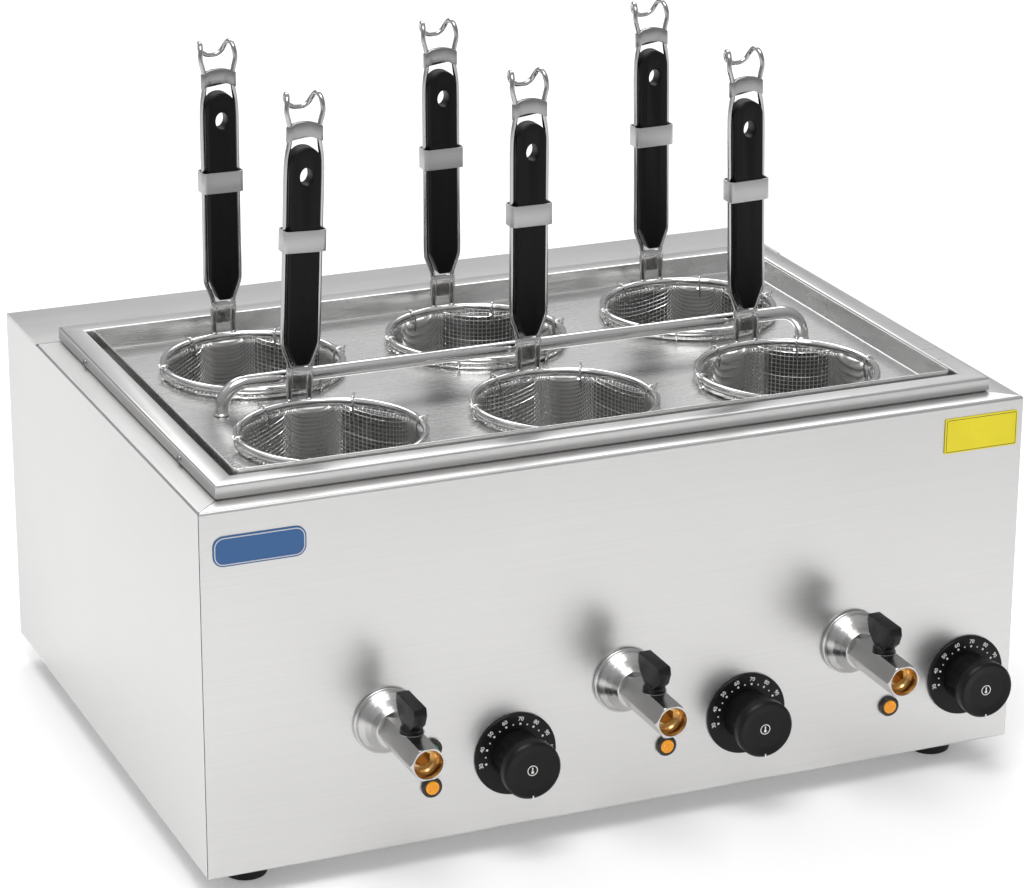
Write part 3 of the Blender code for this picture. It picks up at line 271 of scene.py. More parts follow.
@dataclass(frozen=True)
class Finishes:
    """Every material of the cooker, made once."""

    front: bpy.types.Material
    side: bpy.types.Material
    rim: bpy.types.Material
    tray: bpy.types.Material
    basin: bpy.types.Material
    element: bpy.types.Material
    bail: bpy.types.Material
    wire: bpy.types.Material
    handle: bpy.types.Material
    mesh: bpy.types.Material
    bridge: bpy.types.Material
    band: bpy.types.Material
    grip: bpy.types.Material
    knob: bpy.types.Material
    dial: bpy.types.Material
    ink: bpy.types.Material
    lever: bpy.types.Material
    plastic: bpy.types.Material
    chrome: bpy.types.Material
    brass: bpy.types.Material
    rubber: bpy.types.Material
    amber: bpy.types.Material
    green: bpy.types.Material
    bezel: bpy.types.Material
    badge: bpy.types.Material
    plate: bpy.types.Material

    @classmethod
    def make(cls) -> "Finishes":
        """Return the whole set."""
        grain = Grain
        return cls(
            front=Steel("front_steel", roughness=0.34).make(),
            side=Steel("side_steel", roughness=0.34, grain=grain.ALONG_Y).make(),
            rim=Steel("rim_steel", roughness=0.3).make(),
            tray=Steel("tray_steel", (0.74, 0.74, 0.735), roughness=0.27, streak=0.04, bump=0.015).make(),
            basin=Steel("basin_steel", roughness=0.25, grain=grain.EVEN, bump=0.05).make(),
            element=Steel("element_steel", (0.42, 0.41, 0.4), 0.3, grain.EVEN).make(),
            bail=Steel("bail_steel", roughness=0.16, streak=0.08, cloud=0.04, bump=0.06).make(),
            wire=Steel("wire_steel", (0.74, 0.735, 0.73), 0.13, grain.EVEN, 0.04, 0.04, 0.04).make(),
            # the handle wire: the wire steel made darker, as painted shade for the grey look of the side
            # wires
            handle=Steel("shaded_handle_steel", (0.5, 0.495, 0.49), 0.15, grain.EVEN, 0.04, 0.04, 0.04).make(),
            # the net: the wire steel made lighter, as a painted highlight for the bright look of the thin
            # wires
            mesh=Steel("mesh_steel", (0.9, 0.895, 0.885), 0.36, grain.EVEN, 0.04, 0.04, 0.02).make(),
            bridge=Steel("bridge_steel", (0.34, 0.34, 0.34), 0.28, grain.ALONG_X, 0.1).make(),
            band=Steel("band_steel", (0.55, 0.55, 0.55), 0.42, grain.ALONG_X, 0.06).make(),
            grip=Plastic("grip_plastic", (0.003, 0.003, 0.003), 0.42, 0.2).make(),
            knob=Plastic("knob_black", (0.006, 0.006, 0.0063), 0.36, 0.2).make(),
            dial=Plastic("dial_black", (0.005, 0.005, 0.0055), 0.34, 0.2).make(),
            ink=Plastic("white_ink", (0.8, 0.8, 0.78), 0.5, 0.3).make(),
            lever=Plastic("lever_plastic", (0.006, 0.006, 0.0065), 0.34, 0.25).make(),
            plastic=Plastic("control_plastic", (0.02, 0.02, 0.021), 0.4).make(),
            chrome=Steel("tap_chrome", (0.56, 0.556, 0.55), 0.24, grain.EVEN, 0.06, 0.05, 0.06).make(),
            brass=Steel("tap_brass", (0.72, 0.5, 0.25), 0.24, grain.EVEN, 0.1, 0.1, 0.2).make(),
            rubber=Plastic("foot_rubber", (0.012, 0.012, 0.012), 0.62, 0.3, 700.0, 0.3).make(),
            amber=Lens("amber_lens", (0.82, 0.36, 0.02), 0.25).make(),
            green=Lens("green_lens", (0.01, 0.09, 0.05)).make(),
            bezel=Plastic("bezel_black", (0.02, 0.016, 0.014), 0.2, 0.5).make(),
            badge=Plastic("badge_blue", (0.014, 0.09, 0.26), 0.35, 0.4, coat=0.3).make(),
            plate=Plastic("plate_yellow", (0.78, 0.66, 0.015), 0.4, 0.4).make(),
        )


def rounded(
    points: Sequence[Point], radii: Sequence[float], steps: int = 4, closed: bool = False
) -> list[Point]:
    """Round the corners of a flat path.

    Args:
        points: the path's corners.
        radii: the radius at each corner; 0 leaves it sharp.
        steps: straight pieces in each round corner.
        closed: whether the last corner joins the first.

    Returns:
        The points of the eased path.
    """
    result = []
    count = len(points)
    for index, point in enumerate(points):
        at = Vector(point)
        if radii[index] <= 0 or (not closed and index in (0, count - 1)):
            result.append(tuple(at))
            continue
        before = (Vector(points[index - 1]) - at).normalized()
        after = (Vector(points[(index + 1) % count]) - at).normalized()
        half = before.angle(after) / 2
        reach = radii[index] / math.tan(half)
        centre = at + (before + after).normalized() * radii[index] / math.sin(half)
        first = at + before * reach - centre
        sweep = math.pi - 2 * half
        sign = 1.0 if first.x * (-before.y) - first.y * (-before.x) > 0 else -1.0
        for step in range(steps + 1):
            turn = Matrix.Rotation(sign * sweep * step / steps, 2)
            result.append(tuple(centre + turn @ first))
    return result


def sheet_outline(path: Sequence[Point], bend: float, sheet: float, steps: int = 5) -> list[Point]:
    """Return the closed section of a folded sheet.

    Args:
        path: the corners of its shown side, with the sheet's thickness to the right of it.
        bend: the outer radius of its bends.
        sheet: its thickness.
        steps: straight pieces in each bend.

    Returns:
        The section's points.
    """
    count = len(path)
    shown = [0.0] * count
    hidden = [0.0] * count
    offset = []
    for index in range(count):
        at = Vector(path[index])
        into = (at - Vector(path[index - 1])).normalized() if index else None
        out = (Vector(path[index + 1]) - at).normalized() if index < count - 1 else None
        into = into or out
        out = out or into
        right_in = Vector((into.y, -into.x))
        right_out = Vector((out.y, -out.x))
        mitre = (right_in + right_out).normalized()
        offset.append(tuple(at + mitre * sheet / mitre.dot(right_in)))
        cross = into.x * out.y - into.y * out.x
        if cross < -MERGE:
            shown[index] = bend
            hidden[index] = bend - sheet
        elif cross > MERGE:
            shown[index] = bend - sheet
            hidden[index] = bend
    return rounded(path, shown, steps) + rounded(offset, hidden, steps)[::-1]


def box_outline(low: Point, high: Point) -> list[Point]:
    """Return the corners of a rectangle."""
    return [(low[0], low[1]), (high[0], low[1]), (high[0], high[1]), (low[0], high[1])]


def round_rectangle(low: Point, high: Point, radius: float, steps: int = 6) -> list[Point]:
    """Return the outline of a rectangle with round corners."""
    return rounded(box_outline(low, high), [radius] * 4, steps, closed=True)


def disc(radius: float, low: float, high: float, segments: int) -> bmesh.types.BMesh:
    """Turn a plain cylinder about Z."""
    return lathe([(0.0, low), (radius, low), (radius, high), (0.0, high)], segments)


def inward_steps(outline: Sequence[Point]) -> list[Vector]:
    """Return how each point of a counter-clockwise outline moves for a unit step inwards."""
    moves = []
    count = len(outline)
    for index in range(count):
        into = (Vector(outline[index]) - Vector(outline[index - 1])).normalized()
        out = (Vector(outline[(index + 1) % count]) - Vector(outline[index])).normalized()
        mitre = (Vector((-into.y, into.x)) + Vector((-out.y, out.x))).normalized()
        moves.append(mitre / mitre.dot(Vector((-into.y, into.x))))
    return moves


def swept(outline: Sequence[Point], section: Sequence[Point], closed: bool) -> bmesh.types.BMesh:
    """Sweep a section round an outline that lies level.

    Args:
        outline: the counter-clockwise path of the section's zero.
        section: (inward, height) points.
        closed: whether the section closes on itself; an open one is capped at both ends.

    Returns:
        A closed bmesh.
    """
    moves = inward_steps(outline)
    bm = bmesh.new()
    loop = [bm.verts.new((point[0], point[1], 0.0)) for point in outline]
    for first, second in zip(loop, loop[1:] + loop[:1]):
        bm.edges.new((first, second))
    edges = list(bm.edges)
    stations = list(section) + ([section[0]] if closed else [])
    for count, (inward, height) in enumerate(stations):
        if count:
            made = bmesh.ops.extrude_edge_only(bm, edges=edges)["geom"]
            edges = [item for item in made if isinstance(item, bmesh.types.BMEdge)]
            fresh = {item for item in made if isinstance(item, bmesh.types.BMVert)}
            edges = [edge for edge in edges if set(edge.verts) <= fresh]
            following = {}
            for old in loop:
                partner = [edge.other_vert(old) for edge in old.link_edges]
                following[old] = next(vert for vert in partner if vert in fresh)
            loop = [following[old] for old in loop]
        for vert, point, move in zip(loop, outline, moves):
            vert.co = (point[0] + move.x * inward, point[1] + move.y * inward, height)
    if closed:
        bmesh.ops.remove_doubles(bm, verts=bm.verts, dist=MERGE)
    else:
        rims = [edge for edge in bm.edges if edge.is_boundary]
        bmesh.ops.holes_fill(bm, edges=rims)
    return faced(bm)


def faced(bm: bmesh.types.BMesh) -> bmesh.types.BMesh:
    """Turn all faces outwards and return the bmesh."""
    bmesh.ops.recalc_face_normals(bm, faces=bm.faces)
    return bm


def drawn(outline: Sequence[Point], spread: Callable[[Point], Point], along: Point) -> bmesh.types.BMesh:
    """Draw a flat outline out into a prism.

    Args:
        outline: its points.
        spread: puts a flat point in space.
        along: the way and length of the draw.

    Returns:
        A closed bmesh.
    """
    bm = bmesh.new()
    face = bm.faces.new([bm.verts.new(spread(point)) for point in outline])
    made = bmesh.ops.extrude_face_region(bm, geom=[face], use_keep_orig=True)["geom"]
    verts = [item for item in made if isinstance(item, bmesh.types.BMVert)]
    bmesh.ops.translate(bm, verts=verts, vec=Vector(along))
    bmesh.ops.remove_doubles(bm, verts=bm.verts, dist=MERGE)
    return faced(bm)


def prism_x(outline: Sequence[Point], start: float, end: float) -> bmesh.types.BMesh:
    """Draw a (y, z) outline out along X."""
    return drawn(outline, lambda point: (start, point[0], point[1]), (end - start, 0.0, 0.0))


def prism_y(outline: Sequence[Point], start: float, end: float) -> bmesh.types.BMesh:
    """Draw an (x, z) outline out along Y."""
    return drawn(outline, lambda point: (point[0], start, point[1]), (0.0, end - start, 0.0))


def prism_z(outline: Sequence[Point], start: float, end: float) -> bmesh.types.BMesh:
    """Draw an (x, y) outline out along Z."""
    return drawn(outline, lambda point: (point[0], point[1], start), (0.0, 0.0, end - start))


def lathe(profile: Sequence[Point], segments: int = 48, closed: bool = False) -> bmesh.types.BMesh:
    """Turn (radius, height) points about Z.

    Args:
        profile: the section; an open one starts and ends on the axis.
        segments: steps of the spin.
        closed: whether the section is a ring's.

    Returns:
        A closed bmesh.
    """
    bm = bmesh.new()
    verts = [bm.verts.new((radius, 0.0, height)) for radius, height in profile]
    pairs = list(zip(verts, verts[1:])) + ([(verts[-1], verts[0])] if closed else [])
    edges = [bm.edges.new(pair) for pair in pairs]
    bmesh.ops.spin(
        bm,
        geom=verts + edges,
        axis=(0.0, 0.0, 1.0),
        cent=(0.0, 0.0, 0.0),
        angle=math.tau,
        steps=segments,
        use_merge=True,
        use_duplicate=False,
    )
    bmesh.ops.remove_doubles(bm, verts=bm.verts, dist=MERGE)
    return faced(bm)


def circle(centre: Point, radius: float, count: int, start: float = 0.0) -> list[Point]:
    """Return points on a circle."""
    angles = [start + math.tau * index / count for index in range(count)]
    return [(centre[0] + radius * math.cos(a), centre[1] + radius * math.sin(a)) for a in angles]


def torus(ring: float, wire: float, height: float, sides: int = 14, segments: int = 96) -> bmesh.types.BMesh:
    """Turn a round wire ring that lies level."""
    return lathe(circle((ring, height), wire, sides), segments, closed=True)


def eased(points: Sequence[Point], steps: int) -> list[Vector]:
    """Pass a smooth curve through points.

    Args:
        points: places on the route.
        steps: pieces between two of them.

    Returns:
        The points of the curve.
    """
    knots = [Vector(point) for point in points]
    count = len(knots)
    route = []
    for index in range(count - 1):
        b = knots[index]
        c = knots[index + 1]
        a = knots[index - 1] if index else 2 * b - c
        d = knots[index + 2] if index < count - 2 else 2 * c - b
        gaps = [max(math.sqrt((q - p).length), MERGE) for p, q in ((a, b), (b, c), (c, d))]
        slope_b = ((b - a) / gaps[0] - (c - a) / (gaps[0] + gaps[1]) + (c - b) / gaps[1]) * gaps[1]
        slope_c = ((c - b) / gaps[1] - (d - b) / (gaps[1] + gaps[2]) + (d - c) / gaps[2]) * gaps[1]
        for step in range(steps):
            t = step / steps
            weight_c = t * t * (3 - 2 * t)
            turn = slope_b * (t * (1 - t) ** 2) - slope_c * (t * t * (1 - t))
            route.append(b * (1 - weight_c) + c * weight_c + turn)
    route.append(knots[-1])
    return route


def rods(routes: Iterable[Sequence[Point]], radius: float, sides: int) -> bmesh.types.BMesh:
    """Make round wires along routes with one bevelled curve.

    Args:
        routes: the points of each wire.
        radius: of the wire.
        sides: of its section.

    Returns:
        A bmesh of closed tubes.
    """
    curve = bpy.data.curves.new("route", "CURVE")
    curve.dimensions = "3D"
    curve.bevel_depth = radius
    curve.bevel_resolution = (sides - 4) // 2
    curve.use_fill_caps = True
    for points in routes:
        spline = curve.splines.new("POLY")
        spline.points.add(len(points) - 1)
        for knot, point in zip(spline.points, points):
            knot.co = (*point, 1.0)
    return curve_body(curve)


def curve_body(curve: bpy.types.Curve) -> bmesh.types.BMesh:
    """Return a curve's or text's shape as a bmesh, and remove the curve."""
    holder = bpy.data.objects.new("route", curve)
    bpy.context.scene.collection.objects.link(holder)
    bpy.context.view_layer.update()
    mesh = bpy.data.meshes.new_from_object(holder.evaluated_get(bpy.context.evaluated_depsgraph_get()))
    bm = bmesh.new()
    bm.from_mesh(mesh)
    bpy.data.objects.remove(holder)
    bpy.data.curves.remove(curve)
    bpy.data.meshes.remove(mesh)
    bmesh.ops.remove_doubles(bm, verts=bm.verts, dist=MERGE)
    return faced(bm)


def lettering(text: str, size: float, depth: float) -> bmesh.types.BMesh:
    """Return printed characters that face +Z, centred on the origin."""
    curve = bpy.data.curves.new("figures", "FONT")
    curve.body = text
    curve.size = size
    curve.extrude = depth / 2
    curve.offset = size * 0.012
    curve.resolution_u = 3
    curve.align_x = "CENTER"
    curve.align_y = "CENTER"
    return curve_body(curve)


def ball(centre: Point, radii: Point, segments: int = 14) -> bmesh.types.BMesh:
    """Return a rounded drop of weld metal."""
    bm = bmesh.new()
    matrix = Matrix.Translation(Vector(centre)) @ Matrix.Diagonal((*radii, 1.0))
    bmesh.ops.create_uvsphere(bm, u_segments=segments, v_segments=segments // 2, radius=1.0, matrix=matrix)
    return faced(bm)


def soften(
    bm: bmesh.types.BMesh,
    width: float,
    segments: int = 2,
    sharp: float = 0.6,
    keep: Optional[Callable[[bmesh.types.BMEdge], bool]] = None,
) -> bmesh.types.BMesh:
    """Round the sharp edges of a solid.

    Args:
        bm: the solid.
        width: of the rounding.
        segments: faces across it.
        sharp: least angle between an edge's faces.
        keep: picks among those edges.

    Returns:
        The same bmesh.
    """
    edges = [edge for edge in bm.edges if edge.is_manifold and edge.calc_face_angle() > sharp]
    if keep:
        edges = [edge for edge in edges if keep(edge)]
    bmesh.ops.bevel(
        bm,
        geom=edges,
        offset=width,
        offset_type="OFFSET",
        segments=segments,
        profile=0.5,
        affect="EDGES",
        clamp_overlap=True,
        material=-1,
    )
    return faced(bm)


def moved(bm: bmesh.types.BMesh, matrix: Union[Matrix, Point]) -> bmesh.types.BMesh:
    """Transform a bmesh by a matrix or shift it by a vector."""
    if not isinstance(matrix, Matrix):
        matrix = Matrix.Translation(Vector(matrix))
    bmesh.ops.transform(bm, matrix=matrix, verts=bm.verts)
    return bm


def gathered(*parts: bmesh.types.BMesh) -> bmesh.types.BMesh:
    """Put several closed bodies into one bmesh."""
    whole = bmesh.new()
    for part in parts:
        mesh = bpy.data.meshes.new("part")
        part.to_mesh(mesh)
        part.free()
        whole.from_mesh(mesh)
        bpy.data.meshes.remove(mesh)
    return whole


def copied(bm: bmesh.types.BMesh, matrices: Iterable[Matrix]) -> bmesh.types.BMesh:
    """Repeat a body at several places and free the first."""
    whole = gathered(*[moved(bm.copy(), matrix) for matrix in matrices])
    bm.free()
    return whole


def carved(
    bm: bmesh.types.BMesh, tool: bmesh.types.BMesh, operation: str = "DIFFERENCE"
) -> bmesh.types.BMesh:
    """Cut a tool out of a solid with an exact Boolean, or keep what they share."""
    holders = []
    for part in (bm, tool):
        mesh = bpy.data.meshes.new("carving")
        part.to_mesh(mesh)
        part.free()
        holder = bpy.data.objects.new("carving", mesh)
        bpy.context.scene.collection.objects.link(holder)
        holders.append(holder)
    modifier = holders[0].modifiers.new("carving", "BOOLEAN")
    modifier.operation = operation
    modifier.solver = "EXACT"
    modifier.object = holders[1]
    bpy.context.view_layer.update()
    graph = bpy.context.evaluated_depsgraph_get()
    mesh = bpy.data.meshes.new_from_object(holders[0].evaluated_get(graph))
    result = bmesh.new()
    result.from_mesh(mesh)
    for holder in holders:
        data = holder.data
        bpy.data.objects.remove(holder)
        bpy.data.meshes.remove(data)
    bpy.data.meshes.remove(mesh)
    bmesh.ops.remove_doubles(result, verts=result.verts, dist=MERGE)
    return faced(result)


class Workshop:
    """Turns finished bmeshes into pieces of the model."""

    def __init__(self, finishes: Finishes) -> None:
        """Keep the set of finishes."""
        self.finishes = finishes
        self.made = 0

    def finish(
        self,
        bm: bmesh.types.BMesh,
        name: str,
        material: bpy.types.Material,
        body: str,
        nodes: Sequence[str] = (),
        angle: float = 35.0,
        place: Optional[Matrix] = None,
    ) -> bpy.types.Object:
        """Add one piece to the model.

        Args:
            bm: its shape, in millimetres; it is freed.
            name: of the piece.
            material: its finish.
            body: the CAD body that it rides on.
            nodes: CAD nodes that it stands for.
            angle: largest angle that is shaded smooth, in degrees.
            place: puts a local shape into the case frame.

        Returns:
            The new object.
        """
        if place is not None:
            moved(bm, place)
        moved(bm, Matrix.Translation(Vector(CASE_PLACE)) @ Matrix.Scale(MM, 4))
        mesh = bpy.data.meshes.new(name)
        bm.to_mesh(mesh)
        bm.free()
        mesh.materials.append(material)
        mesh.shade_smooth()
        mesh.set_sharp_from_angle(angle=math.radians(angle))
        piece = bpy.data.objects.new(name, mesh)
        bpy.context.scene.collection.objects.link(piece)
        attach(piece, body)
        if nodes:
            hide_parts(*nodes)
        self.made += 1
        LOG.info("%s: %d faces on %s", name, len(mesh.polygons), body)
        return piece

    @staticmethod
    def dress(node: str, material: bpy.types.Material) -> None:
        """Give a CAD node that stays in view its finish."""
        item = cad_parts[node]
        item.data.materials.clear()
        item.data.materials.append(material)
        LOG.info("%s: CAD node with a new finish", node)


@dataclass
class Casing:
    """The folded panels, the bottom plate and the feet."""

    half_width: float = 290.0
    depth: float = 435.0
    top: float = 249.0
    sheet: float = 1.2
    bend: float = 2.2
    gap: float = 0.3
    lower_return: float = 12.0
    upstand: float = 18.5
    upstand_top: float = 257.5
    shelf_edge: float = 356.3
    foot_inset: float = 38.0
    foot_height: float = 18.0
    foot_radius: float = 15.5

    def panel_section(self) -> list[Point]:
        """Return the section of the front and side panels, inwards and upwards."""
        path = [
            (self.lower_return, 0.0),
            (0.0, 0.0),
            (0.0, self.top),
            (self.upstand, self.top),
            (self.upstand, self.upstand_top),
        ]
        return sheet_outline(path, self.bend, self.sheet)

    @staticmethod
    def mitred(bm: bmesh.types.BMesh, place: Point, outwards: Point) -> bmesh.types.BMesh:
        """Cut a panel's end off along a plane and close it."""
        geometry = list(bm.verts) + list(bm.edges) + list(bm.faces)
        cut = bmesh.ops.bisect_plane(
            bm, geom=geometry, plane_co=place, plane_no=Vector(outwards).normalized(), clear_outer=True
        )
        edges = [item for item in cut["geom_cut"] if isinstance(item, bmesh.types.BMEdge)]
        bmesh.ops.contextual_create(bm, geom=edges)
        return faced(bm)

    def front_panel(self) -> bmesh.types.BMesh:
        """Fold the front panel with mitred ends."""
        bm = prism_x(self.panel_section(), -self.half_width, self.half_width)
        reach = self.half_width - self.gap
        for side in (-1, 1):
            self.mitred(bm, (side * reach, 0.0, 0.0), (side, 1.0, 0.0))

        def upright(edge: bmesh.types.BMEdge) -> bool:
            """Tell whether an edge stands at a front corner of the case."""
            tall = abs(edge.verts[0].co.z - edge.verts[1].co.z) > self.bend
            return tall and all(vert.co.y < self.gap / 3 for vert in edge.verts)

        return soften(bm, 0.8, 3, 0.4, upright)

    def side_panel(self, side: int) -> bmesh.types.BMesh:
        """Fold one side panel, cut down under the rear shelf."""
        section = [(side * (self.half_width - inward), z) for inward, z in self.panel_section()]
        bm = prism_y(section, 0.0, self.depth)
        self.mitred(bm, (side * self.half_width, self.gap, 0.0), (-side, -1.0, 0.0))
        self.mitred(bm, (side * self.half_width, self.depth - self.gap, 0.0), (-side, 1.0, 0.0))
        seat = self.top - self.sheet - self.gap
        low = self.half_width - self.upstand - 8.0
        outline = box_outline((low, seat), (self.half_width + 5.0, 270.0))
        cutter = prism_y([(side * x, z) for x, z in outline], self.shelf_edge - self.gap, self.depth + 5.0)
        bm = carved(bm, cutter)

        def upright(edge: bmesh.types.BMEdge) -> bool:
            """Tell whether an edge stands at an outer corner of the case."""
            tall = abs(edge.verts[0].co.z - edge.verts[1].co.z) > 60.0
            return tall and all(abs(vert.co.x) > self.half_width - self.gap / 3 for vert in edge.verts)

        return soften(bm, 0.8, 3, 0.4, upright)

    def rear_panel(self) -> bmesh.types.BMesh:
        """Fold the rear panel with its wide shelf."""
        rear = self.shelf_edge + self.sheet
        path = [
            (rear, self.upstand_top),
            (rear, self.top),
            (self.depth, self.top),
            (self.depth, 0.0),
            (self.depth - self.lower_return, 0.0),
        ]
        bm = prism_x(sheet_outline(path, self.bend, self.sheet), -self.half_width, self.half_width)
        seat = self.top - self.sheet - self.gap
        for side in (-1, 1):
            corner = self.half_width - self.gap
            wedge = [
                (side * (corner - 30.0), self.depth - 30.0),
                (side * (corner + 5.0), self.depth + 5.0),
                (side * (corner + 30.0), self.depth + 5.0),
                (side * (corner + 30.0), self.depth - 30.0),
            ]
            bm = carved(bm, prism_z(wedge, -10.0, seat + self.gap / 2))
            start = self.half_width - self.upstand
            block = box_outline((rear - 5.0, self.top), (rear + 5.0, 270.0))
            bm = carved(bm, prism_x(block, *sorted((side * start, side * (self.half_width + 5.0)))))
        return bm

    def foot(self) -> bmesh.types.BMesh:
        """Turn one rubber foot, with a small step in its side, that stands on z = 0."""
        top = self.foot_height + self.sheet
        profile = rounded(
            [(0.0, 0.0), (14.0, 0.0), (14.6, 6.0), (15.0, 6.4), (self.foot_radius, top), (4.0, top)],
            [0.0, 2.0, 0.4, 0.4, 0.8, 0.0],
        )
        return lathe(profile + [(4.0, top + 7.0), (0.0, top + 7.0)], 40)

    def build(self, shop: Workshop) -> None:
        """Add the whole casing."""
        finishes = shop.finishes
        shop.finish(self.front_panel(), "case_front", finishes.front, "casing", ["front_panel"])
        for side, word in ((-1, "left"), (1, "right")):
            panel = self.side_panel(side)
            shop.finish(panel, f"case_{word}", finishes.side, "casing", [f"{word}_side_panel"])
        shop.finish(self.rear_panel(), "case_rear", finishes.front, "casing", ["rear_panel"])
        shop.dress("bottom_plate", finishes.side)
        reach = self.half_width - self.foot_inset
        places = [(x, y) for y in (self.foot_inset, self.depth - self.foot_inset) for x in (-reach, reach)]
        for number, (x, y) in enumerate(places, start=1):
            place = Matrix.Translation((x, y, -self.foot_height))
            node = f"foot_{number}"
            name = f"rubber_{node}"
            shop.finish(self.foot(), name, finishes.rubber, "casing", [node], place=place)


@dataclass
class Tank:
    """The rim round the tank mouth, its screws, the basins and their heating elements."""

    half_width: float = 273.0
    front: float = 17.0
    rear: float = 359.0
    strip: float = 15.0
    ledge: float = 8.0
    skirt_bottom: float = 250.2
    top: float = 259.0
    ledge_top: float = 243.5
    sheet: float = 1.2
    bend: float = 1.7
    screw_places: tuple[float, ...] = (88.0, 295.0)
    screw_height: float = 253.0

    def rim(self) -> bmesh.types.BMesh:
        """Sweep the rim's folded section round the tank mouth."""
        path = [
            (0.0, self.skirt_bottom),
            (0.0, self.top),
            (self.strip, self.top),
            (self.strip, self.ledge_top),
            (self.strip + self.ledge, self.ledge_top),
        ]
        width = self.half_width
        outline = box_outline((-width, self.front), (width, self.rear))
        return swept(outline, sheet_outline(path, self.bend, self.sheet, 4), closed=True)

    def screw(self) -> bmesh.types.BMesh:
        """Turn one screw head with its cross recess."""
        profile = rounded([(0.0, 0.0), (2.7, 0.0), (2.5, 1.0), (0.0, 1.7)], [0.0, 0.2, 0.8, 0.0])
        bm = lathe(profile, 28)
        for turn in (0.0, math.pi / 2):
            slot = prism_z(box_outline((-1.5, -0.3), (1.5, 0.3)), 0.9, 3.0)
            bm = carved(bm, moved(slot, Matrix.Rotation(turn + 0.4, 4, "Z")))
        return bm

    def build(self, shop: Workshop) -> None:
        """Add the rim and finish the basins and elements."""
        finishes = shop.finishes
        shop.finish(self.rim(), "mouth_rim", finishes.rim, "casing", ["tank_rim"])
        for number, y in enumerate(self.screw_places, start=1):
            place = Matrix.Translation((-self.half_width + 0.05, y, self.screw_height))
            turned = place @ Matrix.Rotation(-math.pi / 2, 4, "Y")
            name = f"rim_screw_{number}"
            shop.finish(self.screw(), name, finishes.bridge, "casing", place=turned)
        for number in (1, 2, 3):
            shop.dress(f"basin_{number}", finishes.basin)
            shop.dress(f"heating_element_{number}", finishes.element)


@dataclass
class Insert:
    """The lift-out tray and its carrying bail."""

    half_width: float = 254.0
    front: float = 36.0
    rear: float = 340.0
    corner: float = 4.0
    sheet: float = 1.2
    plate_top: float = 245.0
    lip_top: float = 260.5
    hole_radius: float = 60.4
    bail_span: float = 215.0
    bail_place: float = 177.5
    bail_radius: float = 4.75
    bail_height: float = 21.0
    bail_bend: float = 18.0

    def tray(self, places: Sequence[Point]) -> bmesh.types.BMesh:
        """Press the tray and cut the holes of the baskets."""
        base = self.plate_top - self.sheet
        lip = self.sheet / 2 - 0.01
        section = rounded(
            [
                (3.0, base),
                (0.0, base),
                (0.0, self.lip_top),
                (self.sheet, self.lip_top),
                (self.sheet, self.plate_top),
                (3.0, self.plate_top),
            ],
            [0.0, 2.2, lip, lip, 1.2, 0.0],
            5,
        )
        low = (-self.half_width, self.front)
        bm = swept(round_rectangle(low, (self.half_width, self.rear), self.corner), section, closed=False)
        for x, y in places:
            cutter = disc(self.hole_radius, 230.0, 280.0, 96)
            bm = carved(bm, moved(cutter, (x, y, 0.0)))
        return bm

    def bail(self) -> bmesh.types.BMesh:
        """Bend the carrying bail and give its feet their weld collars."""
        span = self.bail_span
        top = self.plate_top + self.bail_height
        foot = self.plate_top + 0.3
        corners = [(-span, foot), (-span, top), (span, top), (span, foot)]
        path = rounded(corners, [0.0, self.bail_bend, self.bail_bend, 0.0], 12)
        tube = rods([[(x, self.bail_place, z) for x, z in path]], self.bail_radius, 24)
        radius = self.bail_radius
        inner = radius - 0.5
        corners = [(inner, foot), (radius + 1.3, foot), (radius + 0.1, foot + 1.6), (inner, foot + 1.6)]
        bead = rounded(corners, [0.0, 0.5, 0.3, 0.0])
        collar = lathe(bead, 32, closed=True)
        sites = [Matrix.Translation((x, self.bail_place, 0.0)) for x in (-span, span)]
        return gathered(tube, copied(collar, sites))

    def build(self, shop: Workshop, places: Sequence[Point]) -> None:
        """Add the tray and the bail."""
        finishes = shop.finishes
        shop.finish(self.tray(places), "tray", finishes.tray, "insert", ["insert_tray"])
        shop.finish(self.bail(), "bail", finishes.bail, "insert", ["bail_handle"])


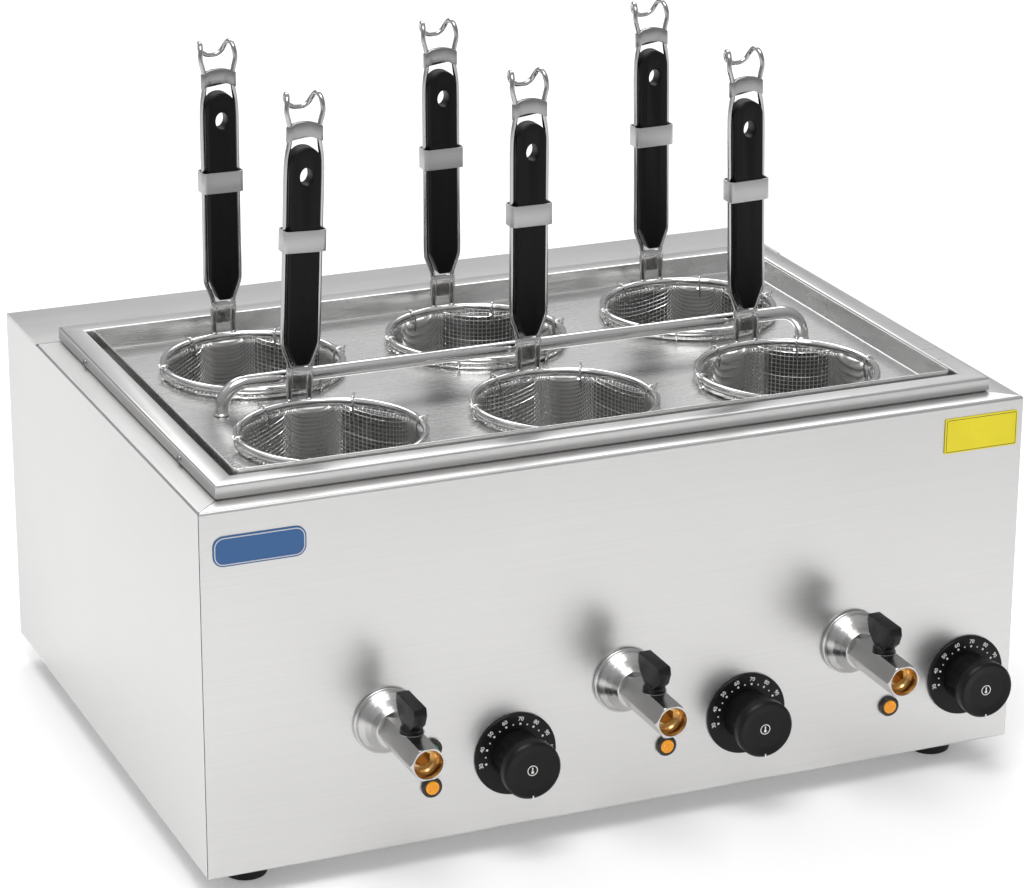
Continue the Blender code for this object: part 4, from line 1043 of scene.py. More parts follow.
@dataclass
class WireNet:
    """The woven net of a basket, pressed from a flat square of mesh.

    The strands that cross in the middle of the bottom run straight up the wall on four sides. Between
    those sides the squares shear into narrow diamonds. Each knot lies one pitch from its two neighbours
    on a slightly flared pot, and is then put on the real one.
    """

    pitch: float = 3.0
    wire: float = 0.27
    weave: float = 0.26
    radius: float = 59.0
    corner: float = 33.5
    bottom: float = -124.3
    wall_top: float = 1.5
    lip: float = 2.1
    skirt: float = 0.7
    flare: float = math.radians(68.0)

    def __post_init__(self) -> None:
        """Work out the lengths along the section."""
        self.flat = self.radius - self.corner
        self.bend_end = self.flat + self.corner * math.pi / 2
        self.wall_end = self.bend_end + self.wall_top - self.bottom - self.corner
        self.lip_end = self.wall_end + math.pi * self.lip
        self.length = self.lip_end + self.skirt

    def section(self, s: float) -> tuple[float, float, float, float]:
        """Return radius, height and the outward normal's two parts at a length along the section."""
        if s <= self.flat:
            return s, self.bottom, 0.0, -1.0
        if s <= self.bend_end:
            angle = (s - self.flat) / self.corner
            r = self.flat + self.corner * math.sin(angle)
            return r, self.bottom + self.corner * (1 - math.cos(angle)), math.sin(angle), -math.cos(angle)
        if s <= self.wall_end:
            return self.radius, self.bottom + self.corner + s - self.bend_end, 1.0, 0.0
        angle = min((s - self.wall_end) / self.lip, math.pi)
        drop = max(0.0, s - self.lip_end)
        r = self.radius + self.lip * (1 - math.cos(angle))
        z = self.wall_top + self.lip * math.sin(angle) - drop
        return r, z, math.cos(angle), -math.sin(angle)

    def flared(self, s: float) -> tuple[float, float, float, float]:
        """Return radius, height and their slopes on the flared pot that the net is laid on."""
        if s <= self.flat:
            return s, 0.0, 1.0, 0.0
        span = self.bend_end - self.flat
        angle = self.flare * min((s - self.flat) / span, 1.0)
        bend = span / self.flare
        r = self.flat + bend * math.sin(angle)
        z = bend * (1 - math.cos(angle))
        extra = max(0.0, s - self.bend_end)
        return r + extra * math.cos(angle), z + extra * math.sin(angle), math.cos(angle), math.sin(angle)

    def solve(self, first: Point, second: Point, opposite: Point) -> Point:
        """Return the knot one pitch from two others, as (length, angle)."""
        s = first[0] + second[0] - opposite[0]
        angle = first[1] + second[1] - opposite[1]
        anchors = []
        for knot in (first, second):
            r, z, _, _ = self.flared(knot[0])
            anchors.append(Vector((r * math.cos(knot[1]), r * math.sin(knot[1]), z)))
        flats = [anchor.xy for anchor in anchors]
        if max(first[0], second[0]) < self.flat:
            corner = Vector((max(flats[0].x, flats[1].x), max(flats[0].y, flats[1].y)))
            if corner.length < self.flat:
                return corner.length, math.atan2(corner.y, corner.x)
            s = corner.length
            angle = math.atan2(corner.y, corner.x)
        for _ in range(8):
            r, z, slope_r, slope_z = self.flared(s)
            cos = math.cos(angle)
            sin = math.sin(angle)
            at = Vector((r * cos, r * sin, z))
            along = Vector((slope_r * cos, slope_r * sin, slope_z))
            across = Vector((-r * sin, r * cos, 0.0))
            one = at - anchors[0]
            two = at - anchors[1]
            f = one.length_squared - self.pitch ** 2
            g = two.length_squared - self.pitch ** 2
            a, b = 2 * one.dot(along), 2 * one.dot(across)
            c, d = 2 * two.dot(along), 2 * two.dot(across)
            size = a * d - b * c
            if abs(size) < 1e-9:
                break
            s -= max(-2.0, min(2.0, (f * d - g * b) / size))
            angle -= max(-0.1, min(0.1, (a * g - c * f) / size))
        return s, angle

    def widened(self, s: float, angle: float) -> float:
        """Return the angle on the real pot for an angle on the flared one."""
        if s <= self.flat:
            return angle
        half = math.pi / 4
        folded = angle if angle <= half else math.pi / 2 - angle
        flared = self.flared(s)[0]
        real = self.section(min(s, self.wall_end))[0]
        edge = min(self.flat / flared, math.radians(40.0))
        wide = min(edge * flared / real, math.radians(41.0))
        if folded <= edge:
            result = folded * wide / edge
        else:
            result = wide + (folded - edge) * (half - wide) / (half - edge)
        return result if angle <= half else math.pi / 2 - result

    def knots(self) -> dict[tuple[int, int], Point]:
        """Return the knots of one quarter, as (length, angle) by their row and column."""
        count = int(self.length / self.pitch) + 3
        found = {(0, 0): (0.0, 0.0)}
        for index in range(1, count):
            found[index, 0] = (index * self.pitch, 0.0)
            found[0, index] = (index * self.pitch, math.pi / 2)
        limit = self.length + 2 * self.pitch
        for total in range(2, 2 * count):
            for row in range(1, total):
                column = total - row
                sources = ((row - 1, column), (row, column - 1), (row - 1, column - 1))
                if row >= count or column >= count or any(key not in found for key in sources):
                    continue
                first, second, opposite = (found[key] for key in sources)
                if min(first[0], second[0]) > limit:
                    continue
                s, angle = self.solve(first, second, opposite)
                if 0.0 < angle < math.pi / 2 and s < limit:
                    found[row, column] = (s, angle)
        return {key: (s, self.widened(s, angle)) for key, (s, angle) in found.items()}

    def strand(self, knots: dict, row: int, by_row: bool, span: int) -> list[Vector]:
        """Return one wire across the whole net, cut off at the skirt's edge."""
        run = []
        for column in range(-span, span + 1):
            key = (row, column) if by_row else (column, row)
            knot = knots.get((abs(key[0]), abs(key[1])))
            if knot is None:
                if run and column > 0:
                    break
                run = []
                continue
            run.append((knot[0], knot[1], key))
        inside = [index for index, item in enumerate(run) if item[0] <= self.length]
        if not inside:
            return []
        picked = list(run[max(inside[0] - 1, 0):inside[-1] + 2])
        points = []
        for s, angle, key in picked:
            r, z, normal_r, normal_z = self.section(min(s, self.length))
            lift = self.weave * (1 if (key[0] + key[1]) % 2 else -1) * (1 if by_row else -1)
            r += normal_r * lift
            x = r * math.cos(angle) * (-1 if key[0] < 0 else 1)
            y = r * math.sin(angle) * (-1 if key[1] < 0 else 1)
            points.append(Vector((x, y, z + normal_z * lift)))
        for end, inner in ((0, 1), (-1, -2)):
            outer_s, inner_s = picked[end][0], picked[inner][0]
            if outer_s > self.length and len(points) > 1:
                share = (self.length - inner_s) / (outer_s - inner_s)
                points[end] = points[inner].lerp(points[end], max(share, 0.05))
        return points if len(points) > 2 else []

    def shape(self) -> bmesh.types.BMesh:
        """Return the net as a bmesh of thin square-sided wires."""
        knots = self.knots()
        span = max(max(key) for key in knots)
        routes = []
        for row in range(-span, span + 1):
            for by_row in (True, False):
                route = self.strand(knots, row, by_row, span)
                if route:
                    routes.append(route)
        return rods(routes, self.wire, 4)


@dataclass
class Basket:
    """One noodle basket: ring, net, clips, handle wires, hook and grip, with z = 0 on the tray."""

    ring: float = 61.5
    ring_wire: float = 2.5
    ring_level: float = 6.1
    hoop: float = 61.0
    hoop_wire: float = 1.45
    hoop_level: float = 1.8
    wire: float = 1.7
    neck: float = 7.0
    half_width: float = 12.3
    back: float = 62.35
    grip_start: float = 33.5
    grip_top: float = 181.0
    grip_half: float = 10.3
    grip_depth: float = 12.0
    hole_half: tuple[float, float] = (4.4, 6.0)
    band_start: float = 111.0
    band_height: float = 14.7
    bridge_start: float = 183.5
    bridge_height: float = 10.0

    def handle_route(self) -> list[Vector]:
        """Return the route of the wire that makes both sides and the hanging hook."""
        wide = self.half_width
        start = self.bridge_start
        top = start + self.bridge_height
        side = [
            (self.neck, 0.0, 7.4),
            (self.neck, 0.0, 16.0),
            (self.neck, 0.0, 28.0),
            (self.neck + 0.4, 0.0, 32.5),
            (9.7, 0.0, 39.5),
            (wide - 0.4, 0.0, 45.5),
            (wide, 0.0, 50.0),
            (wide, 0.0, 80.0),
            (wide, 0.0, 130.0),
            (wide, 0.0, 166.0),
            (wide - 0.5, 0.0, 174.0),
            (10.5, 0.0, start - 1.0),
            (10.0, 0.0, start + 3.0),
            (10.0, 0.0, top - 1.0),
            (11.0, 0.2, top + 4.0),
            (12.4, 0.4, top + 10.0),
            (11.8, 1.6, top + 17.0),
            (11.0, 4.6, top + 20.0),
            (10.3, 9.0, top + 20.0),
            (9.2, 12.8, top + 16.6),
            (7.2, 14.3, top + 12.6),
            (3.6, 14.5, top + 10.3),
        ]
        mirrored = [(-x, y, z) for x, y, z in side[::-1]]
        whole = side + [(0.0, 14.5, top + 10.0)] + mirrored
        return [point + Vector((0.0, self.back, 0.0)) for point in eased(whole, 5)]

    def wrap(self, half: float, lobe: float, web: float, low: float, height: float) -> bmesh.types.BMesh:
        """Fold a strip round two upright wires.

        Args:
            half: each wire's distance from the middle.
            lobe: radius of the strip round a wire.
            web: half the strip's thickness between the wires.
            low: its lower edge.
            height: of the strip.

        Returns:
            A closed bmesh, centred on the handle.
        """
        reach = math.asin(min(web / lobe, 1.0))
        outline = []
        for side, start in ((1, -math.pi + reach), (-1, reach)):
            for step in range(13):
                angle = start + (math.tau - 2 * reach) * step / 12
                outline.append((side * half + lobe * math.cos(angle), self.back + lobe * math.sin(angle)))
        bm = prism_z(outline, low, low + height)
        return soften(bm, 0.3, 2, 1.0)

    def bridge(self) -> bmesh.types.BMesh:
        """Press the arched plate that joins the wires above the grip."""
        half = 10.0
        lobe = self.wire + 0.9
        outline = []
        for side, first in ((1, -1.0), (-1, 1.0)):
            for step in range(6):
                outline.append((-side * half * (1 - 2 * step / 6) * 0.72, self.back + first * 1.5))
            for step in range(9):
                angle = first * math.pi / 2 * (1 - step / 4)
                x = side * half + lobe * math.cos(angle) * side
                outline.append((x, self.back + lobe * math.sin(angle)))
        bm = prism_z(outline, self.bridge_start, self.bridge_start + self.bridge_height)
        for vert in bm.verts:
            share = vert.co.x / (half + lobe)
            vert.co.z += 3.6 * (1 - share * share)
        return soften(bm, 0.35, 2, 1.1)

    def band(self) -> bmesh.types.BMesh:
        """Bend the flat band that wraps the grip and both wires."""
        half_width = self.half_width + self.wire + 0.9
        half_depth = self.grip_depth / 2 + 1.2
        low = (-half_width, self.back - half_depth)
        high = (half_width, self.back + half_depth)
        outline = round_rectangle(low, high, 3.2)
        top = self.band_start + self.band_height
        section = rounded(
            [(0.0, self.band_start), (0.0, top), (0.9, top), (0.9, self.band_start)],
            [0.25] * 4,
            2,
            closed=True,
        )
        return swept(outline, section, closed=True)

    def grip(self) -> bmesh.types.BMesh:
        """Mould the grip with its domed top, tapered foot and hang hole."""
        half = self.grip_half
        foot = self.grip_start
        turns = [math.pi * step / 20 for step in range(21)]
        dome = [(half * math.cos(a), self.grip_top - half + half * math.sin(a)) for a in turns]
        base = [(-half, foot + 15.0), (-4.2, foot), (4.2, foot), (half, foot + 15.0)]
        lower = rounded([dome[-1]] + base + [dome[0]], [0.0, 9.0, 1.5, 1.5, 9.0, 0.0], 5)
        outline = lower[1:-1] + dome
        depth = self.grip_depth / 2
        bm = prism_y(outline, -depth, depth)

        def ridge(edge: bmesh.types.BMEdge) -> bool:
            """Tell whether an edge runs round the front or rear face."""
            first, second = (vert.co.y for vert in edge.verts)
            return abs(abs(first) - depth) < MERGE and abs(first - second) < MERGE

        soften(bm, 2.6, 4, 0.8, ridge)
        middle = self.grip_top - 19.5
        wide, tall = self.hole_half
        hole = [(wide * x, middle + tall * y) for x, y in circle((0.0, 0.0), 1.0, 32)]
        bm = carved(bm, prism_y(hole, -depth - 4.0, depth + 4.0))

        def mouth(edge: bmesh.types.BMEdge) -> bool:
            """Tell whether an edge runs round the hang hole."""
            spots = [math.hypot(vert.co.x / wide, (vert.co.z - middle) / tall) for vert in edge.verts]
            return all(abs(spot - 1) < 0.02 for spot in spots)

        soften(bm, 0.6, 2, 0.8, mouth)
        return moved(bm, (0.0, self.back, 0.0))

    def clips(self) -> bmesh.types.BMesh:
        """Bend the six small clips that hold the net's hoop to the ring."""
        inner = self.ring - self.ring_wire - 1.5
        level = self.ring_level
        route = eased(
            [
                (65.9, 0.5, level + 4.6),
                (64.9, 0.2, level + 2.8),
                (64.0, 0.0, level + 3.0),
                (61.8, 0.0, level + 3.4),
                (59.6, 0.0, level + 2.9),
                (58.3, -0.2, level + 0.9),
                (inner + 0.3, -0.5, level - 3.0),
                (inner + 0.3, -0.9, level - 8.0),
                (inner + 0.9, -1.1, level - 11.0),
            ],
            4,
        )
        under = eased(
            [
                (inner + 0.6, 0.7, level - 4.6),
                (60.2, 0.8, level - 6.2),
                (63.2, 0.8, level - 5.6),
                (64.6, 0.7, level - 2.6),
                (65.1, 0.5, level + 0.6),
                (64.6, 0.2, level + 2.6),
            ],
            4,
        )
        clip = rods([route, under], 0.75, 8)
        turns = [Matrix.Rotation(math.radians(60.0 * index - 3.6), 4, "Z") for index in range(6)]
        return copied(clip, turns)

    def handle(self) -> bmesh.types.BMesh:
        """Bend the handle wire and drop the welds at its feet on the ring."""
        wire = rods([self.handle_route()], self.wire, 14)
        beads = [
            ball((side * self.neck, self.back - 0.5, self.ring_level + 2.2), (2.4, 2.2, 1.5))
            for side in (-1, 1)
        ]
        return gathered(wire, *beads)

    def tab(self) -> bmesh.types.BMesh:
        """Bend the small rest behind the neck clamp."""
        path = [(1.6, 26.0), (4.2, 26.4), (7.0, 23.6), (8.4, 19.4)]
        section = sheet_outline(path, 2.6, 1.0, 4)
        bm = prism_x([(self.back + y, z) for y, z in section], -4.2, 4.2)
        return soften(bm, 0.2, 1, 1.2)

    def lean(self, angle: float) -> Matrix:
        """Return the small tilt of a handle that was bent in use, about its foot on the ring."""
        foot = Vector((0.0, self.back, self.ring_level))
        tilt = Matrix.Rotation(math.radians(angle), 4, "Y")
        return Matrix.Translation(foot) @ tilt @ Matrix.Translation(-foot)

    def build(
        self,
        shop: Workshop,
        number: int,
        place: Point,
        net: bmesh.types.BMesh,
        turn: float,
        lean: float,
    ) -> None:
        """Add one basket.

        Args:
            shop: the workshop.
            number: of the basket.
            place: its axis on the tray, in the case frame.
            net: the net, which is copied.
            turn: how the net lies in the basket, in degrees.
            lean: sideways tilt of the handle, in degrees.
        """
        finishes = shop.finishes
        name = f"basket_{number}"
        site = Matrix.Translation((place[0], place[1], Insert.plate_top))

        def add(
            bm: bmesh.types.BMesh,
            word: str,
            material: bpy.types.Material,
            at: Matrix,
            node: str = "",
            angle: float = 35.0,
        ) -> None:
            """Finish one piece of this basket."""
            nodes = [f"{name}_{node}"] if node else []
            shop.finish(bm, f"{name}_{word}", material, name, nodes, angle, at)

        wire = finishes.wire
        turned = site @ Matrix.Rotation(math.radians(turn), 4, "Z")
        # the net takes the lighter steel, which is a painted highlight
        add(net.copy(), "net", finishes.mesh, turned, "bowl", 80.0)
        add(torus(self.hoop, self.hoop_wire, self.hoop_level, 10, 72), "hoop", wire, site)
        ring = torus(self.ring, self.ring_wire, self.ring_level, 18, 112)
        add(ring, "ring", wire, site, node="frame")
        add(self.clips(), "clips", wire, site, angle=60.0)
        site = site @ self.lean(lean)
        # the handle wire takes the darker steel, which is painted shade
        add(self.handle(), "handle_wire", finishes.handle, site, angle=60.0)
        clamp = self.wrap(self.neck, self.wire + 0.75, 0.8, 15.6, 15.4)
        add(clamp, "neck_clamp", wire, site)
        add(self.tab(), "rest", finishes.bridge, site)
        add(self.bridge(), "bridge", finishes.bridge, site)
        add(self.band(), "band", finishes.band, site)
        add(self.grip(), "handle", finishes.grip, site, "grip")


@dataclass
class Tap:
    """One drain tap, modelled along +Z from the panel outwards."""

    flange: float = 22.5
    corner: float = 12.0
    dome: float = 18.0
    reach: float = 74.0
    mouth: float = 11.2
    bore: float = 9.4
    lever_place: float = 45.0
    height: float = 91.2

    def body(self) -> bmesh.types.BMesh:
        """Turn the stepped flange and dome."""
        profile = rounded(
            [
                (0.0, -35.2),
                (8.4, -35.2),
                (8.4, 0.3),
                (self.flange, 0.3),
                (self.flange, 2.4),
                (21.3, 3.0),
                (20.6, 5.2),
                (17.4, 8.4),
                (14.6, 13.0),
                (12.9, self.dome),
                (0.0, self.dome),
            ],
            [0.0, 0.0, 0.0, 0.4, 0.7, 0.5, 1.6, 6.0, 6.0, 0.9, 0.0],
            5,
        )
        return lathe(profile, 72)

    def barrel(self) -> bmesh.types.BMesh:
        """Cut the six-sided body to a round mouth."""
        bm = prism_z(circle((0.0, 0.0), self.corner, 6), self.dome - 3.0, self.reach)
        turned = lathe(
            rounded(
                [
                    (0.0, self.dome - 4.0),
                    (self.corner + 0.3, self.dome - 4.0),
                    (self.corner + 0.3, self.reach - 2.2),
                    (self.mouth + 0.2, self.reach - 0.3),
                    (self.mouth - 0.3, self.reach),
                    (0.0, self.reach),
                ],
                [0.0, 0.0, 0.4, 0.3, 0.2, 0.0],
                3,
            ),
            96,
        )
        bm = carved(bm, turned, "INTERSECT")
        soften(bm, 0.35, 2, 0.5, lambda edge: abs(edge.verts[0].co.z - edge.verts[1].co.z) > 30.0)
        return carved(bm, disc(self.bore + 0.35, 48.0, 90.0, 64))

    def sleeve(self) -> bmesh.types.BMesh:
        """Turn the brass inside of the outlet with its six-sided seat."""
        wall = self.bore
        profile = [
            (0.0, 48.5),
            (wall + 0.3, 48.5),
            (wall + 0.3, self.reach - 0.6),
            (wall, self.reach - 0.2),
            (wall - 0.5, self.reach - 1.2),
            (wall - 0.5, self.reach - 9.0),
            (wall - 1.6, self.reach - 10.2),
            (0.0, self.reach - 10.2),
        ]
        bm = lathe(profile, 56)
        return carved(bm, prism_z(circle((0.0, 0.0), 5.6, 6, 0.5), 52.0, self.reach))

    def lever(self) -> bmesh.types.BMesh:
        """Mould the wing lever, which turns on Z, with z = 0 on the tap's axis."""
        flat = self.corner * math.cos(math.pi / 6)
        seat = flat + 0.3
        half = [(5.9, seat + 2.7), (13.4, seat + 9.0), (16.5, seat + 16.4), (15.2, seat + 21.7)]
        outline = half + [(-y, z) for y, z in half[::-1]]
        wing = prism_x(rounded(outline, [1.0, 2.0, 2.0, 1.6, 1.6, 2.0, 2.0, 1.0], 3, True), -4.4, 4.4)
        soften(wing, 0.9, 3, 0.9)
        low = flat - 2.9
        top = seat + 5.0
        stem = [(0.0, low), (3.0, low), (3.0, seat)]
        corners = stem + [(7.5, seat), (7.2, seat + 3.0), (5.0, top), (0.0, top)]
        collar = lathe(rounded(corners, [0.0, 0.0, 0.0, 0.4, 1.0, 1.0, 0.0], 3), 36)
        return gathered(wing, collar)

    def washer(self) -> bmesh.types.BMesh:
        """Turn the bright washer under the lever."""
        flat = self.corner * math.cos(math.pi / 6)
        return lathe(box_outline((3.4, flat + 0.02), (8.2, flat + 0.24)), 36, closed=True)

    def build(self, shop: Workshop, number: int, x: float) -> None:
        """Add one tap."""
        chrome = shop.finishes.chrome
        name = f"tap_{number}"
        place = Matrix.Translation((x, 0.0, self.height)) @ FRONT
        shop.finish(self.body(), f"{name}_flange", chrome, "casing", [f"{name}_body"], 40.0, place)
        shop.finish(self.barrel(), f"{name}_barrel", chrome, "casing", (), 25.0, place)
        brass = shop.finishes.brass
        shop.finish(self.sleeve(), f"{name}_sleeve", brass, "casing", (), 30.0, place)
        place = Matrix.Translation((x, -self.lever_place, self.height))
        body = f"tap_handle_{number}"
        black = shop.finishes.lever
        nodes = [f"{name}_lever"]
        shop.finish(self.lever(), f"{name}_wing", black, body, nodes, place=place)
        shop.finish(self.washer(), f"{name}_washer", chrome, "casing", place=place)


@dataclass
class Thermostat:
    """One dial plate with its figures, the knob in front of it and the thermostat behind."""

    dial: float = 28.5
    thickness: float = 1.8
    gap: float = 0.3
    base: float = 17.0
    tip: float = 19.8
    length: float = 28.5
    height: float = 52.0
    first_angle: float = 190.0
    step_angle: float = 27.0
    figures: tuple[int, ...] = (30, 40, 50, 60, 70, 80, 90, 100, 110)
    figure_radius: float = 24.7
    dot_radius: float = 21.3

    @property
    def face(self) -> float:
        """Return the level of the dial's face."""
        return self.gap + self.thickness

    def plate(self) -> bmesh.types.BMesh:
        """Turn the dial plate."""
        section = rounded(
            [(3.3, self.gap), (self.dial, self.gap), (self.dial, self.face), (3.3, self.face)],
            [0.0, 0.2, 0.7, 0.0],
            4,
        )
        return lathe(section, 96, closed=True)

    def scale(self) -> bmesh.types.BMesh:
        """Print the figures and dots of the scale."""
        level = self.face + 0.03
        marks = []
        for index, figure in enumerate(self.figures):
            angle = math.radians(self.first_angle - index * self.step_angle)
            size = 3.9 if figure < 100 else 3.4
            upright = Matrix.Rotation(angle - math.pi / 2, 4, "Z")
            spot = Vector((math.cos(angle), math.sin(angle), 0.0))
            place = Matrix.Translation(spot * self.figure_radius + Vector((0.0, 0.0, level))) @ upright
            marks.append(moved(lettering(str(figure), size, 0.06), place))
            marks.append(self.dot(angle, 0.8, level))
            if index < len(self.figures) - 1:
                marks.append(self.dot(angle - math.radians(self.step_angle / 2), 0.55, level))
        return gathered(*marks)

    def dot(self, angle: float, radius: float, level: float) -> bmesh.types.BMesh:
        """Print one round dot of the scale."""
        bm = prism_z(circle((0.0, 0.0), radius, 14), level - 0.03, level + 0.03)
        return moved(bm, (self.dot_radius * math.cos(angle), self.dot_radius * math.sin(angle), 0.0))

    def knob(self) -> bmesh.types.BMesh:
        """Turn the knob, flared towards its face, with the spindle behind it."""
        back = self.face + self.gap
        front = back + self.length
        profile = rounded(
            [
                (0.0, -13.5),
                (3.0, -13.5),
                (3.0, back),
                (self.base, back),
                (self.base - 0.1, back + 8.0),
                (self.tip - 1.3, back + 18.5),
                (self.tip - 1.0, back + 19.1),
                (self.tip, back + 20.6),
                (self.tip, front - 1.6),
                (self.tip - 1.5, front),
                (self.tip - 2.2, front - 0.1),
                (self.tip - 7.0, front - 1.2),
                (0.0, front - 1.6),
            ],
            [0.0, 0.0, 0.0, 0.5, 6.0, 0.2, 0.3, 1.0, 1.2, 0.8, 0.6, 6.0, 0.0],
            4,
        )
        return lathe(profile, 96)

    def mark(self) -> bmesh.types.BMesh:
        """Print the ring sign in the middle of the knob and the pointer at its edge."""
        front = self.face + self.gap + self.length - 1.48
        ring = lathe(box_outline((3.05, front), (3.6, front + 0.06)), 40, closed=True)
        stem = prism_z(round_rectangle((-0.42, -0.6), (0.42, 2.2), 0.4), front, front + 0.06)
        bulb = prism_z(circle((0.0, -1.2), 0.95, 20), front, front + 0.06)
        edge = self.face + self.gap + self.length
        outline = box_outline((-0.45, -self.tip + 0.15), (0.45, -self.tip + 2.6))
        tick = prism_z(outline, edge - 2.6, edge + 0.04)
        return gathered(ring, stem, bulb, tick)

    def build(self, shop: Workshop, number: int, x: float) -> None:
        """Add one dial with its knob."""
        finishes = shop.finishes
        place = Matrix.Translation((x, 0.0, self.height)) @ FRONT
        name = f"dial_{number}"
        shop.finish(self.plate(), f"{name}_plate", finishes.dial, "casing", [name], place=place)
        shop.finish(self.scale(), f"{name}_figures", finishes.ink, "casing", place=place)
        name = f"knob_{number}"
        body = f"control_{name}"
        shop.finish(self.knob(), f"{name}_cap", finishes.knob, body, [name], place=place)
        shop.finish(self.mark(), f"{name}_mark", finishes.ink, body, place=place)
        shop.dress(f"thermostat_{number}", finishes.plastic)


@dataclass
class PilotLamp:
    """One pilot lamp: a dark bezel round a coloured lens with a cut grid."""

    bezel: float = 7.0
    proud: float = 2.4
    lens: float = 4.6
    gap: float = 0.3
    cells: int = 9

    def housing(self) -> bmesh.types.BMesh:
        """Turn the bezel with the barrel behind it."""
        front = self.gap + self.proud
        profile = rounded(
            [
                (0.0, -17.2),
                (4.8, -17.2),
                (4.8, self.gap),
                (self.bezel, self.gap),
                (self.bezel, front - 0.6),
                (self.bezel - 1.0, front),
                (self.lens + 0.5, front),
                (self.lens, front - 0.8),
                (0.0, front - 0.8),
            ],
            [0.0, 0.0, 0.0, 0.2, 0.5, 0.5, 0.3, 0.1, 0.0],
            3,
        )
        return lathe(profile, 48)

    def glass(self) -> bmesh.types.BMesh:
        """Cut the lens from a plate of small pyramids."""
        level = self.gap + self.proud + 0.1
        bm = bmesh.new()
        reach = self.lens + 0.6
        matrix = Matrix.Translation((0.0, 0.0, level))
        bmesh.ops.create_grid(bm, x_segments=self.cells, y_segments=self.cells, size=reach, matrix=matrix)
        top = list(bm.faces)
        base = bmesh.ops.extrude_face_region(bm, geom=top, use_keep_orig=True)["geom"]
        verts = [item for item in base if isinstance(item, bmesh.types.BMVert)]
        bmesh.ops.translate(bm, verts=verts, vec=(0.0, 0.0, -1.2))
        bmesh.ops.inset_individual(bm, faces=top, thickness=0.3, depth=0.0)
        for face in top:
            bmesh.ops.translate(bm, verts=face.verts, vec=(0.0, 0.0, 0.45))
        faced(bm)
        edge = self.lens - 0.05
        tool = lathe([(0.0, level - 1.0), (edge, level - 1.0), (edge, level + 0.1), (0.0, level + 1.4)], 40)
        return carved(bm, tool, "INTERSECT")

    def build(self, shop: Workshop, node: str, glass: bpy.types.Material, slot: str, place: Point) -> None:
        """Add one lamp."""
        site = Matrix.Translation(Vector(place)) @ FRONT
        shop.finish(self.housing(), f"{node}_bezel", shop.finishes.bezel, "casing", place=site)
        shop.finish(self.glass(), f"{node}_lens", glass, "casing", [node], 20.0, site)


@dataclass
class Stations:
    """The three control stations on the front panel."""

    pitch: float = 167.2
    tap_shift: float = -1.5
    lamp_shift: float = 29.5
    dial_shift: float = 88.0
    amber_height: float = 38.5
    green_height: float = 65.4

    def build(self, shop: Workshop) -> None:
        """Add the tap, lamps and thermostat of each station."""
        lamp = PilotLamp()
        finishes = shop.finishes
        for number in (1, 2, 3):
            centre = (number - 2) * self.pitch
            Tap().build(shop, number, centre + self.tap_shift)
            Thermostat().build(shop, number, centre + self.dial_shift)
            x = centre + self.lamp_shift
            amber = f"amber_lamp_{number}"
            lamp.build(shop, amber, finishes.amber, "amber_lens", (x, 0.0, self.amber_height))
            green = f"green_lamp_{number}"
            lamp.build(shop, green, finishes.green, "green_lens", (x, 0.0, self.green_height))


